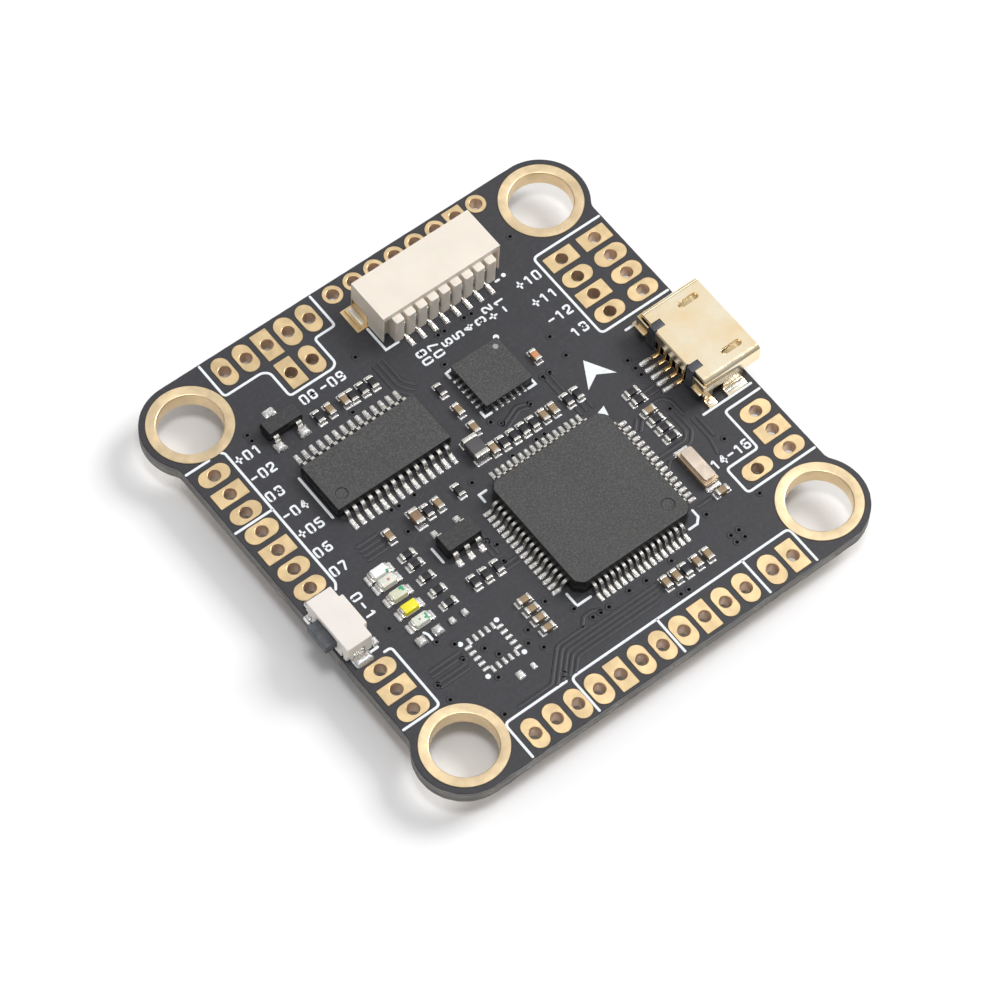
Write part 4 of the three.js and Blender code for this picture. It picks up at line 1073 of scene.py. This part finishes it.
def moulded_body(length, width, height, corner, dimple=None):
    """Drafted sides (1) with a parting line, and a roughened top (0) with a round pin-one dimple (2)."""
    waist = STANDOFF + (height - STANDOFF) / 2
    levels = [(DRAFT + 0.03, STANDOFF), (DRAFT, STANDOFF + 0.03), (0.015, waist - 0.06), (0, waist - 0.05),
              (0, waist + 0.05), (0.015, waist + 0.06), (DRAFT, height - 0.045),
              (DRAFT + 0.015, height - 0.015), (DRAFT + 0.045, height)]
    rings = [ring_at(package_outline(length, width, corner, inset), z) for inset, z in levels]
    solid = Solid()
    loft(solid, rings[:-2], 1, cap_end=False)
    loft(solid, rings[-3:], 0, cap_start=False, cap_end=dimple is None)
    if dimple:
        x, y, radius = dimple
        mouth = circle(radius, 28, x, y)
        bowl = [(1.0, 0.0), (0.97, -0.02), (0.93, -0.04), (0.88, -0.045), (0.4, -0.05)]
        rims = [[(x + (px - x) * k, y + (py - y) * k, height + drop) for px, py in mouth]
                for k, drop in bowl]
        loft(solid, rims[:4], 2, cap_start=False, cap_end=False)
        loft(solid, rims[3:], 0, cap_start=False)
        solid.add(*flat_sheet([(px, py) for px, py, _ in rings[-1]], [mouth], height))
    return solid


def leaded_chip(node, at, size, span, sides, lead, corner=0.12, dimple=None, over=False, toe=0.3,
                finish="epoxy"):
    """A body and its soldered leads, standing for the two CAD nodes of that name.

    size is the body's length, width and height, span the distance between the bends of facing leads,
    and lead their width and thickness. sides maps a turn in degrees from +Y to the leads' offsets.
    """
    length, width, height = size
    lead_width, lead_thickness = lead
    place = (*at, BOTTOM if over else TOP)
    body = Solid().join(moulded_body(length, width, height, corner, dimple), at=place, over=over)
    make(f"{node}_body", body, f"{finish} epoxy_side epoxy_dimple", slot="chip_epoxy",
         replaces=[f"{node}_package"], smooth=30)
    rise = STANDOFF + (height - STANDOFF) / 2
    overhang = (span - width) / 2
    foot = overhang * 0.55 + toe
    foot_solder = mound(lead_width + 0.11, foot, lead_thickness * 0.85, 1)
    heel_solder = mound(lead_width * 0.9, 0.24, lead_thickness * 2.0, 1)
    leads = Solid()
    for turn, offsets in sides.items():
        reach = (width if turn % 180 == 0 else length) / 2
        one = gull_lead(reach, overhang, rise, lead_thickness, lead_width)
        one.join(foot_solder, at=(0, reach + overhang * 0.5 + foot / 2 - 0.03, 0))
        one.join(heel_solder, at=(0, reach + overhang * 0.44, 0))
        row = Solid()
        for off in offsets:
            row.join(one, at=(off, 0, 0))
        leads.join(Solid().join(row, turn=turn), at=place, over=over)
    make(f"{node}_leads", leads, "tin solder", slot="tinned_lead", replaces=[f"{node}_leadframe"])


def even_row(count, pitch):
    return [(i - (count - 1) / 2) * pitch for i in range(count)]


def leaded_chips():
    """The four chips of the upper face that have leads, and the three underneath."""
    both, small = (0, 180), dict(lead=(0.4, 0.13), finish="epoxy_smooth")
    leaded_chip("mcu", (2.5, -6.2), (10, 10, 1.45), 12, {t: even_row(16, 0.5) for t in QUARTERS},
                (0.24, 0.14), corner=0.55, dimple=(3.8, -3.6, 0.5), toe=0.2)
    leaded_chip("osd", (-6.8, 5.45), (9.7, 4.4, 1.1), 6.4, {t: even_row(14, 0.65) for t in both},
                (0.3, 0.14), dimple=(-3.8, -1.2, 0.46), toe=0.4)
    leaded_chip("transistor", (-10.35, 11.45), (2.9, 1.3, 1.0), 2.4, {0: [0], 180: [-0.95, 0.95]},
                (0.42, 0.13), finish="epoxy_smooth")
    leaded_chip("regulator", (-6.2, -2.95), (2.9, 1.6, 1.1), 2.8,
                {0: [-0.95, 0.95], 180: even_row(3, 0.95)}, **small)
    for name, x in (("buck_regulator_5v", -7), ("buck_regulator_9v", 7)):
        leaded_chip(name, (x, -4.2), (2.9, 1.6, 1.1), 2.8, {t: even_row(3, 0.95) for t in both},
                    dimple=(-1.05, -0.4, 0.13), over=True, **small)
    leaded_chip("flash_memory", (0, 8.5), (5.2, 5.3, 1.8), 7.9, {t: even_row(4, 1.27) for t in both},
                (0.42, 0.2), dimple=(-1.8, -1.8, 0.35), over=True)


def motion_sensor():
    """Leadless body with its printed pin-one dot, and the solder that shows under its four sides."""
    x, y, size, height = 3.45, 5.85, 4.0, 0.9
    edge = 0.03
    levels = [(edge, 0.02), (0, 0.02 + edge), (0, height - edge), (0.01, height - 0.01), (edge, height)]
    rings = [ring_at(inset_rectangle(size, size, 0.08, inset), z) for inset, z in levels]
    block = loft(Solid(), rings[:-2], 1, cap_end=False)
    loft(block, rings[-3:], 0, cap_start=False)
    make("gyro_body", Solid().join(block, at=(x, y, TOP)), "epoxy epoxy_side", slot="chip_epoxy",
         replaces=["gyro_package"], smooth=30)
    dot = prism(Solid(), circle(0.2, 20, 4.9, 7.27), TOP + height - BURIED, TOP + height + 0.006)
    make("gyro_pin_mark", dot, "pin_mark")
    side = Solid()
    for off in even_row(6, 0.5):
        side.join(mound(0.27, 0.42, 0.09, 0, 0.08), at=(off, size / 2 + 0.12, 0))
        side.join(wedge(0.2, 0.16, 0.22), at=(off, size / 2 - 0.02, 0))
    pads = Solid()
    for turn in QUARTERS:
        pads.join(side, at=(x, y, TOP), turn=turn)
    make("gyro_solder", pads, "solder", slot="tinned_lead")


def crystal():
    """A ceramic base with gold seams, a metal lid, and the solder at its two ends."""
    low, high = cad_box("crystal_base")
    width, length, height = high - low
    # outline moved in, height as a share of the base's, and the material up to the next level
    layers = [(0.03, 0.0, 0), (0.0, 0.06, 0), (0.0, 0.4, 1), (0.05, 0.4, 0), (0.05, 0.52, 1),
              (0.0, 0.52, 1), (0.0, 0.72, 0), (0.06, 0.72, 0), (0.06, 0.82, 1), (0.015, 0.82, 1),
              (0.015, 0.96, 1), (0.04, 1.0, 1)]
    rings = [ring_at(inset_rectangle(width, length, 0.12, inset), height * share)
             for inset, share, _ in layers]
    base = Solid()
    for k, (_, _, finish) in enumerate(layers[:-1]):
        loft(base, rings[k:k + 2], finish, cap_start=k == 0, cap_end=k == len(layers) - 2)
    placed = Solid().join(base, at=((low.x + high.x) / 2, (low.y + high.y) / 2, low.z))
    make("crystal_ceramic_base", placed, "frit lid_seam", slot="crystal_ceramic",
         replaces=["crystal_base"])
    eased("crystal_metal_lid", "crystal_lid", "lid", 0.05, 3)
    pads = Solid()
    for side in (-1, 1):
        at = (10.2, -8.3 + side * 1.72, TOP)
        pads.join(mound(1.3, 0.55, 0.16), at=at)
    make("crystal_solder", pads, "solder", slot="tinned_lead")


# ---------------------------------------------------------------- two-terminal parts

def chip_part(length, width, height, cap, fillet=0.24, proud=0.015):
    """Body 0, end caps 1 and solder 2, lying along Y with its middle at the origin."""
    solid = slab(width, length - 2 * cap + 0.04, 0.01, height, 0.03, 0.03)
    tip = length / 2
    end = Solid().join(slab(width + 2 * proud, cap, 0.0, height + proud, 0.045, 0.06, material=1),
                       at=(0, tip - cap / 2, 0))
    end.join(wedge(width * 0.94, fillet, height * 0.72, 2), at=(0, tip - 0.02, 0))
    end.join(mound(width + 0.12, cap + fillet + 0.05, 0.05, 2, 0.06), at=(0, tip + fillet / 2 - cap / 2, 0))
    return solid.join(end).join(end, turn=180)


# size, body finish and slot
CHIP_KINDS = {
    "tan": (dict(length=0.98, width=0.48, height=0.44, cap=0.23, fillet=0.15), "tan", "ceramic_capacitor"),
    "orange": (dict(length=0.98, width=0.48, height=0.44, cap=0.23, fillet=0.15), "orange",
               "ceramic_capacitor"),
    "large": (dict(length=1.25, width=0.68, height=0.6, cap=0.28), "brown", "ceramic_capacitor"),
    "resistor": (dict(length=1.0, width=0.5, height=0.34, cap=0.22, fillet=0.17), "resistor",
                 "chip_resistor"),
}
# groups of chips in rows: each chip is (kind, x, y), and those of the second list lie along X
TOP_CHIPS = {
    "sensor_row": ([("tan", 0.05, 1.25), ("resistor", 0.9, 1.25), ("resistor", 1.8, 1.25),
                    ("resistor", 2.65, 1.25), ("resistor", 3.5, 1.25), ("tan", 4.4, 1.25),
                    ("tan", 5.25, 1.25), ("resistor", 6.5, 1.25), ("resistor", 7.35, 1.25)], []),
    "sensor_sides": ([("resistor", 0.0, 7.1), ("tan", 0.0, 5.1), ("tan", 0.0, 3.35),
                      ("orange", 6.9, 5.35)], []),
    "below_video_chip": ([("tan", -9.75, 0.1), ("large", -7.45, 0.1), ("resistor", -6.5, 0.1),
                          ("tan", -5.6, 0.1), ("resistor", -3.85, 0.1)], []),
    "above_video_chip": ([("resistor", -7.95, 10.4), ("tan", -7.0, 10.4), ("tan", -5.75, 10.4),
                          ("resistor", -5.1, 10.4), ("resistor", -4.2, 10.4),
                          ("resistor", -3.35, 10.4)], []),
    "regulator_side": ([("resistor", -7.3, -6.1), ("resistor", -6.35, -6.1), ("resistor", -5.35, -6.1)],
                       [("tan", -5.55, -9.2), ("tan", -5.55, -10.05), ("tan", -5.55, -10.9),
                        ("tan", -5.55, -11.8)]),
    "processor_rear": ([("tan", 2.9, -13.9), ("tan", 3.75, -13.9), ("resistor", 4.6, -13.9),
                        ("tan", 5.55, -13.9), ("tan", 6.5, -13.9)], []),
    "processor_right": ([], [("resistor", 10.4, -0.9), ("resistor", 10.4, -1.7), ("tan", 10.4, -2.8),
                             ("resistor", 10.4, -3.6), ("resistor", 10.4, -4.45), ("resistor", 10.4, -5.3),
                             ("tan", 10.4, -10.7)]),
}
UNDERSIDE_CHIPS = (
    [("resistor", -9.6, -6.3), ("tan", -4.2, -6.3), ("tan", -9.9, -4.2), ("resistor", 9.6, -6.3),
     ("tan", 4.2, -6.3), ("tan", 9.9, -4.2), ("large", -2.6, 0.6), ("large", 2.6, 0.6), ("tan", 4.3, 8.1),
     ("resistor", -4.3, 8.1), ("resistor", 4.3, 9.9)],
    [("tan", -9.3, 5.2), ("tan", 9.3, 5.2)],
)


def chips(group, lengthwise, crosswise, over=False):
    """One piece for each kind of chip in a group; those of the upper face sit a little askew."""
    members = [(*chip, 0) for chip in lengthwise] + [(*chip, 90) for chip in crosswise]
    for kind, (size, finish, slot) in CHIP_KINDS.items():
        chosen = [member for member in members if member[0] == kind]
        if not chosen:
            continue
        template, solid = chip_part(**size), Solid()
        for _, x, y, turn in chosen:
            skew = 0 if over else 1.6 * noise.noise(Vector((x * 3.1, y * 2.7, 0.5)))
            solid.join(template, at=(x, y, BOTTOM if over else TOP), turn=turn + skew, over=over)
        make(f"chips_{group}_{kind}", solid, f"{finish} tin solder", slot=slot)


def small_parts():
    for group, rows in TOP_CHIPS.items():
        chips(group, *rows)


def ferrite():
    part = Solid().join(chip_part(1.8, 1.1, 0.86, 0.35, fillet=0.2), at=(-1, 1.9, TOP))
    make("ferrite_bead_body", part, "ferrite tin solder", slot="ferrite", replaces=["ferrite_bead"])


# each light: its lens, then the marks seen through it as (finish, x, y, width, length)
LEDS = [
    ("led_white", [("led_green", 0.42, -0.28, 0.2, 0.18)]),
    ("led_clear", [("led_red", 0.08, 0.0, 0.22, 0.22)]),
    ("led_pale", [("led_green", 0.4, 0.12, 0.2, 0.42), ("led_green", 0.25, 0.2, 0.18, 0.22)]),
    ("led_yellow", []),
    ("led_clear", [("led_green", 0.46, -0.05, 0.14, 0.56), ("led_green", 0.32, -0.12, 0.18, 0.18),
                   ("led_die", -0.08, 0.0, 0.17, 0.17)]),
]


def status_leds():
    """Five diodes, each a white base between silvered ends under a cast lens, and their resistors."""
    for i, (lens, marks) in enumerate(LEDS, 1):
        low, high = cad_box(f"led_{i}")
        height = high.z - low.z
        solid = slab(1.2, 0.8, 0.01, 0.24, 0.03, 0.05)
        for side in (-1, 1):
            solid.join(slab(0.26, 0.8, 0.0, 0.3, 0.04, 0.1, 1), at=(side * 0.68, 0, 0))
            solid.join(mound(0.4, 0.84, 0.16, 2, 0.12), at=(side * 0.94, 0, 0))
            solid.join(slab(0.16, 0.5, 0.1, height - 0.06, 0.03, 0.05, 1), at=(side * 0.62, 0.06, 0))
        rings = [(0, 0.22), (0.03, 0.5), (0.045, height - 0.03), (0.08, height - 0.006)]
        loft(solid, [ring_at(inset_rectangle(1.2, 0.78, 0.08, inset), z) for inset, z in rings], 3)
        finishes = sorted({mark[0] for mark in marks})
        for k, (finish, x, y, width, length) in enumerate(marks):
            mark_top = height - 0.001 * k  # marks that cross don't share a plane
            mark = slab(width, length, 0.2, mark_top, 0.02, 0.05, 4 + finishes.index(finish))
            solid.join(mark, at=(x, y, 0))
        make(f"led_{i}_part", Solid().join(solid, at=on_board(low, high)),
             " ".join(("led_base tin solder", lens, *finishes)), slot="led_body", replaces=[f"led_{i}"])
        size, finish, slot = CHIP_KINDS["resistor"]
        part = Solid().join(chip_part(**size), at=on_board(*cad_box(f"led_resistor_{i}")), turn=90)
        make(f"led_resistor_{i}_part", part, f"{finish} tin solder", slot=slot,
             replaces=[f"led_resistor_{i}"])


def bare_solder_pads():
    """Reflowed pads with no part on them: an empty footprint and odd test points."""
    solid = Solid()
    for i in range(5):
        for y in (-9.4, -11.95):
            solid.join(mound(0.3, 0.62, 0.1), at=(-10.3 + 0.5 * i, y, TOP))
        for x in (-10.65, -8.0):
            solid.join(mound(0.62, 0.3, 0.1), at=(x, -9.72 - 0.49 * i, TOP))
    for x, y, width, length, height in [
        (-9.1, -13.4, 0.6, 0.7, 0.12), (-8.0, -13.4, 0.45, 0.6, 0.12), (-12.85, -7.5, 0.85, 0.85, 0.34),
        (-11.45, -7.5, 0.85, 0.85, 0.34), (-10.25, -7.5, 0.55, 0.65, 0.26), (-9.2, -7.5, 0.55, 0.65, 0.26),
        (-10.4, 12.8, 0.9, 0.66, 0.08), (-11.4, 10.15, 0.9, 0.9, 0.34), (-9.4, 10.15, 0.95, 0.95, 0.34),
    ]:
        solid.join(mound(width, length, height, 0, 0.14), at=(x, y, TOP))
    make("bare_solder_pads", solid, "solder")


# ---------------------------------------------------------------- sockets and button

SOCKET_TAB_THICKNESS = 0.2


def motor_socket():
    """The motor-controller socket with its contacts and tabs, and their pads and solder."""
    eased("esc_socket_moulding", "esc_socket_housing", "nylon", 0.045, 2)
    solder_joints = Solid()
    for i in range(1, 9):
        eased(f"esc_socket_pin_{i}", f"esc_socket_contact_{i}", "tin", 0.025, 2)
        low, high = cad_box(f"esc_socket_contact_{i}")
        solder_joints.join(mound(0.42, 0.95, 0.13, 0, 0.1), at=((low.x + high.x) / 2, low.y + 0.34, TOP))
    for side, outward in (("left", -1), ("right", 1)):
        eased(f"esc_socket_anchor_{side}", f"esc_socket_tab_{side}", "gold", 0.03, 2)
        low, high = cad_box(f"esc_socket_tab_{side}")
        x, y, _ = on_board(low, high)
        solder_joints.join(slab(1.15, 2.1, 0.0, COPPER, 0.015, 0.06, 1), at=(x + outward * 0.14, y, TOP))
        outer_end = (low if outward < 0 else high).x
        solder_joints.join(slab(0.42, 1.55, 0.0, 0.03, 0.012, 0.05, 2),
                           at=(outer_end - outward * 0.42, y, TOP + SOCKET_TAB_THICKNESS))
    make("esc_socket_solder", solder_joints, "solder gold tin_film", slot="tinned_contact")


USB_SLOT_X = 17.15


def usb_socket():
    """The USB socket: shell with its sprung latches, insulator and contacts, and their solder."""
    shell_low, shell_high = cad_box("usb_shell")
    middle = (shell_low.y + shell_high.y) / 2
    eased("usb_socket_shell", "usb_shell", "usb_gold", 0.045, 3, angle=25)
    eased("usb_socket_insulator", "usb_insulator", "slate", 0.03, 2)
    top = shell_high.z
    root, tip = USB_SLOT_X + 0.98, USB_SLOT_X - 0.72
    path = [(root, top - 0.29), (root - 0.3, top - 0.26), (USB_SLOT_X + 0.35, top - 0.13),
            (tip, top - 0.48)]
    leaf = profile_strip(ribbon_outline(rounded_path(path, 0.4, 4), 0.09, 3), 0.42, 0.02)
    springs = Solid()
    for side in (-1, 1):
        springs.join(leaf, at=(0, middle + side * 2.35, 0), turn=-90)
    make("usb_socket_springs", springs, "spring_gold", slot="usb_shell_gold")
    joints = Solid()
    for i in range(1, 6):
        eased(f"usb_socket_pin_{i}", f"usb_contact_{i}", "shaded_contact_gold", 0.02, 2)
        low, high = cad_box(f"usb_contact_{i}")
        joints.join(mound(1.3, 0.42, 0.27, 0, 0.16), at=(low.x + 0.4, (low.y + high.y) / 2, TOP))
    for x, length in ((16.4, 1.8), (14.15, 0.5)):
        for side in (-1, 1):
            joints.join(mound(length, 0.6, 0.3, 0, 0.2), at=(x, middle + side * 3.9, TOP))
    make("usb_socket_solder", joints, "solder")


def boot_button():
    """The side-pressed button: case, plunger, contact plate, legs, locating lugs and solder."""
    eased("boot_button_case", "boot_button_housing", "button_nylon", 0.08, 3)
    case_low, case_high = cad_box("boot_button_housing")
    lugs = Solid()
    for y in (case_low.y + 0.35, case_high.y - 0.35):
        lugs.join(slab(0.34, 0.42, 0.02, 0.66, 0.05, 0.12), at=(case_low.x + 0.2, y, TOP))
    make("boot_button_lugs", lugs, "button_nylon", slot="socket_nylon")
    eased("boot_button_stem", "boot_button_plunger", "plunger", 0.06, 2, body=BUTTON_BODY)
    eased("boot_button_spring", "boot_button_dome", "steel", 0.012, 1)
    joints = Solid()
    joints.join(mound(0.6, 0.75, 0.3, 0, 0.15), at=(case_high.x + 0.05, case_low.y + 0.25, TOP))
    joints.join(mound(0.55, 0.7, 0.35, 0, 0.15), at=(case_low.x - 0.05, case_high.y - 0.4, TOP))
    for end, side in (("front", 1), ("rear", -1)):
        eased(f"boot_button_leg_{end}", f"boot_button_terminal_{end}", "tin", 0.03, 2)
        low, high = cad_box(f"boot_button_terminal_{end}")
        outer = high.y if side > 0 else low.y
        joints.join(mound(1.5, 1.0, 0.36, 0, 0.25), at=((low.x + high.x) / 2, outer - side * 0.12, TOP))
    make("boot_button_solder", joints, "solder", slot="tinned_contact")


# ---------------------------------------------------------------- underside

def power_inductors():
    """Pressed-powder blocks with chamfered corners and wrapped end terminals."""
    outline = chamfered_rectangle(4, 4, 0.35)
    steps = [(-0.12, 0.08), (-0.02, 0.14), (0, 0.2), (0, 1.85), (-0.03, 1.94), (-0.1, 2.0)]
    solid = loft(Solid(), [ring_at(offset(outline, inset), z) for inset, z in steps])
    for side in (-1, 1):
        solid.join(slab(0.5, 2.4, 0.0, 0.1, 0.03, 0.06, 1), at=(side * 1.72, 0, 0))
        solid.join(slab(0.1, 2.2, 0.02, 1.0, 0.03, 0.04, 1), at=(side * 1.97, 0, 0))
    for name, x in (("inductor_5v", -7), ("inductor_9v", 7)):
        placed = Solid().join(solid, at=(x, 0.9, BOTTOM), over=True)
        make(f"{name}_part", placed, "inductor tin", slot="inductor_body", replaces=[name])


def input_capacitor():
    part = Solid().join(chip_part(3.2, 1.56, 1.5, 0.5, fillet=0.4), at=(0, -3.2, BOTTOM), over=True)
    make("input_capacitor_part", part, "brown tin solder", slot="ceramic_capacitor",
         replaces=["input_capacitor"])


def underside():
    """Small chips, the outlines of the pad groups and inductors, and a plain pattern of traces and vias."""
    chips("underside", *UNDERSIDE_CHIPS, over=True)
    lines = Solid()
    levels = (BOTTOM - SILK_HEIGHT, BOTTOM + BURIED)
    for points, radius in PAD_GROUP_LINES:
        stroke(lines, points, radius=radius, levels=levels)
    for x in (-7, 7):
        for side in (-1, 1):
            near, far = 0.9 + side * 1.5, 0.9 + side * 2.3
            bracket = [(x - 2.3, near), (x - 2.3, far), (x + 2.3, far), (x + 2.3, near)]
            stroke(lines, bracket, levels=levels)
    make("silkscreen_lines_under", lines, "silk")
    marks = Solid()
    for x, y in VIAS[::2]:
        via_mark(marks, x, y, BOTTOM, -1)
    style = dict(width=0.2, levels=(BOTTOM + BURIED, BOTTOM - TRACE_HEIGHT), crown=0.5, flank=2)
    for k in range(6):
        x = -12.5 + 0.45 * k
        stroke(marks, [(x, -8.4), (x, 8.2 - 0.4 * k), (x + 1.6, 10.2 - 0.4 * k)], radius=0.3, **style)
        stroke(marks, [(11.2 - 0.45 * k, -12.2), (7.2 - 0.45 * k, -8.9)], **style)
    make("traces_and_vias_under", marks, "trace via trace_flank", slot="solder_mask")


# ---------------------------------------------------------------- building

circuit_board()
mount_rings()
wire_pads()
silkscreen_top()
traces_top()
leaded_chips()
motion_sensor()
crystal()
small_parts()
ferrite()
status_leds()
bare_solder_pads()
motor_socket()
usb_socket()
boot_button()
power_inductors()
input_capacitor()
underside()


# ---------------------------------------------------------------- stage, light and camera

def floor():
    """One pale sheet that the board stands on, in metres."""
    half = 1.2
    mesh = bpy.data.meshes.new("studio_floor")
    corners = [(-half, -half, 0), (half, -half, 0), (half, half, 0), (-half, half, 0)]
    mesh.from_pydata(corners, [], [(0, 1, 2, 3)])
    n = Nodes("studio_floor")
    n.fill(n.shader, Roughness=0.9, Specular_IOR_Level=0.1)
    n.link(n.blend(n.noise(0.01), (0.93, 0.93, 0.935), (0.95, 0.95, 0.952)), n.shader.inputs["Base Color"])
    mesh.materials.append(n.material)
    obj = bpy.data.objects.new("studio_floor", mesh)
    bpy.context.scene.collection.objects.link(obj)


def area_light(name, direction, distance, size, power):
    """A white rectangle in that direction from the board, facing it; metres and watts."""
    data = bpy.data.lights.new(name, "AREA")
    data.shape = "RECTANGLE"
    data.size, data.size_y = size
    data.energy = power
    light = bpy.data.objects.new(name, data)
    away = Vector(direction).normalized()
    light.location = away * distance
    light.rotation_mode = "QUATERNION"
    light.rotation_quaternion = (-away).to_track_quat("-Z", "Y")
    bpy.context.scene.collection.objects.link(light)


def world():
    """A pale surround, darker towards the floor."""
    scene_world = bpy.data.worlds.new("studio")
    bpy.context.scene.world = scene_world
    scene_world.use_nodes = True
    tree = scene_world.node_tree
    back = tree.nodes["Background"]
    place = tree.nodes.new("ShaderNodeTexCoord")
    split = tree.nodes.new("ShaderNodeSeparateXYZ")
    ramp = tree.nodes.new("ShaderNodeValToRGB")
    floor_end, sky_end = ramp.color_ramp.elements
    floor_end.position, floor_end.color = 0.0, (0.36, 0.36, 0.375, 1)
    sky_end.position, sky_end.color = 0.9, (0.95, 0.95, 0.96, 1)
    tree.links.new(place.outputs["Generated"], split.inputs[0])
    tree.links.new(split.outputs["Z"], ramp.inputs["Fac"])
    tree.links.new(ramp.outputs["Color"], back.inputs["Color"])
    back.inputs["Strength"].default_value = 0.58


def camera():
    """Above and to the left of the rear edge, looking down at about 60 degrees, rolled a little."""
    azimuth, elevation, roll = (math.radians(a) for a in (-41.284, 60.383, 3.714))
    back = Vector((math.sin(azimuth) * math.cos(elevation), -math.cos(azimuth) * math.cos(elevation),
                   math.sin(elevation)))
    level = (-back).cross(Vector((0, 0, 1))).normalized()
    upright = level.cross(-back)
    right = level * math.cos(roll) + upright * math.sin(roll)
    up = upright * math.cos(roll) - level * math.sin(roll)
    data = bpy.data.cameras.new("camera")
    data.sensor_width = 36
    data.lens = 152.79
    data.clip_start, data.clip_end = 0.01, 10
    obj = bpy.data.objects.new("camera", data)
    turn = Matrix((right, up, back)).transposed().to_4x4()
    obj.matrix_world = Matrix.Translation(Vector((-95.63, -108.74, 252.82)) * MM) @ turn
    bpy.context.scene.collection.objects.link(obj)
    bpy.context.scene.camera = obj


floor()
world()
area_light("key_softbox", (0.75, -0.1, 0.8), 0.5, (0.2, 0.2), 1.35)
area_light("top_softbox", (0.48, 0.30, 0.84), 0.6, (0.3, 0.4), 0.14)
area_light("overhead_softbox", (-0.05, -0.1, 1), 0.55, (0.12, 0.12), 0.78)
area_light("front_strip", (0.5, 0.9, 0.55), 0.5, (0.3, 0.1), 0.15)
area_light("fill_card", (-0.8, -0.4, 0.7), 0.6, (0.3, 0.3), 0.1)
camera()
bpy.context.scene.view_settings.view_transform = "Standard"
bpy.context.scene.view_settings.look = "None"
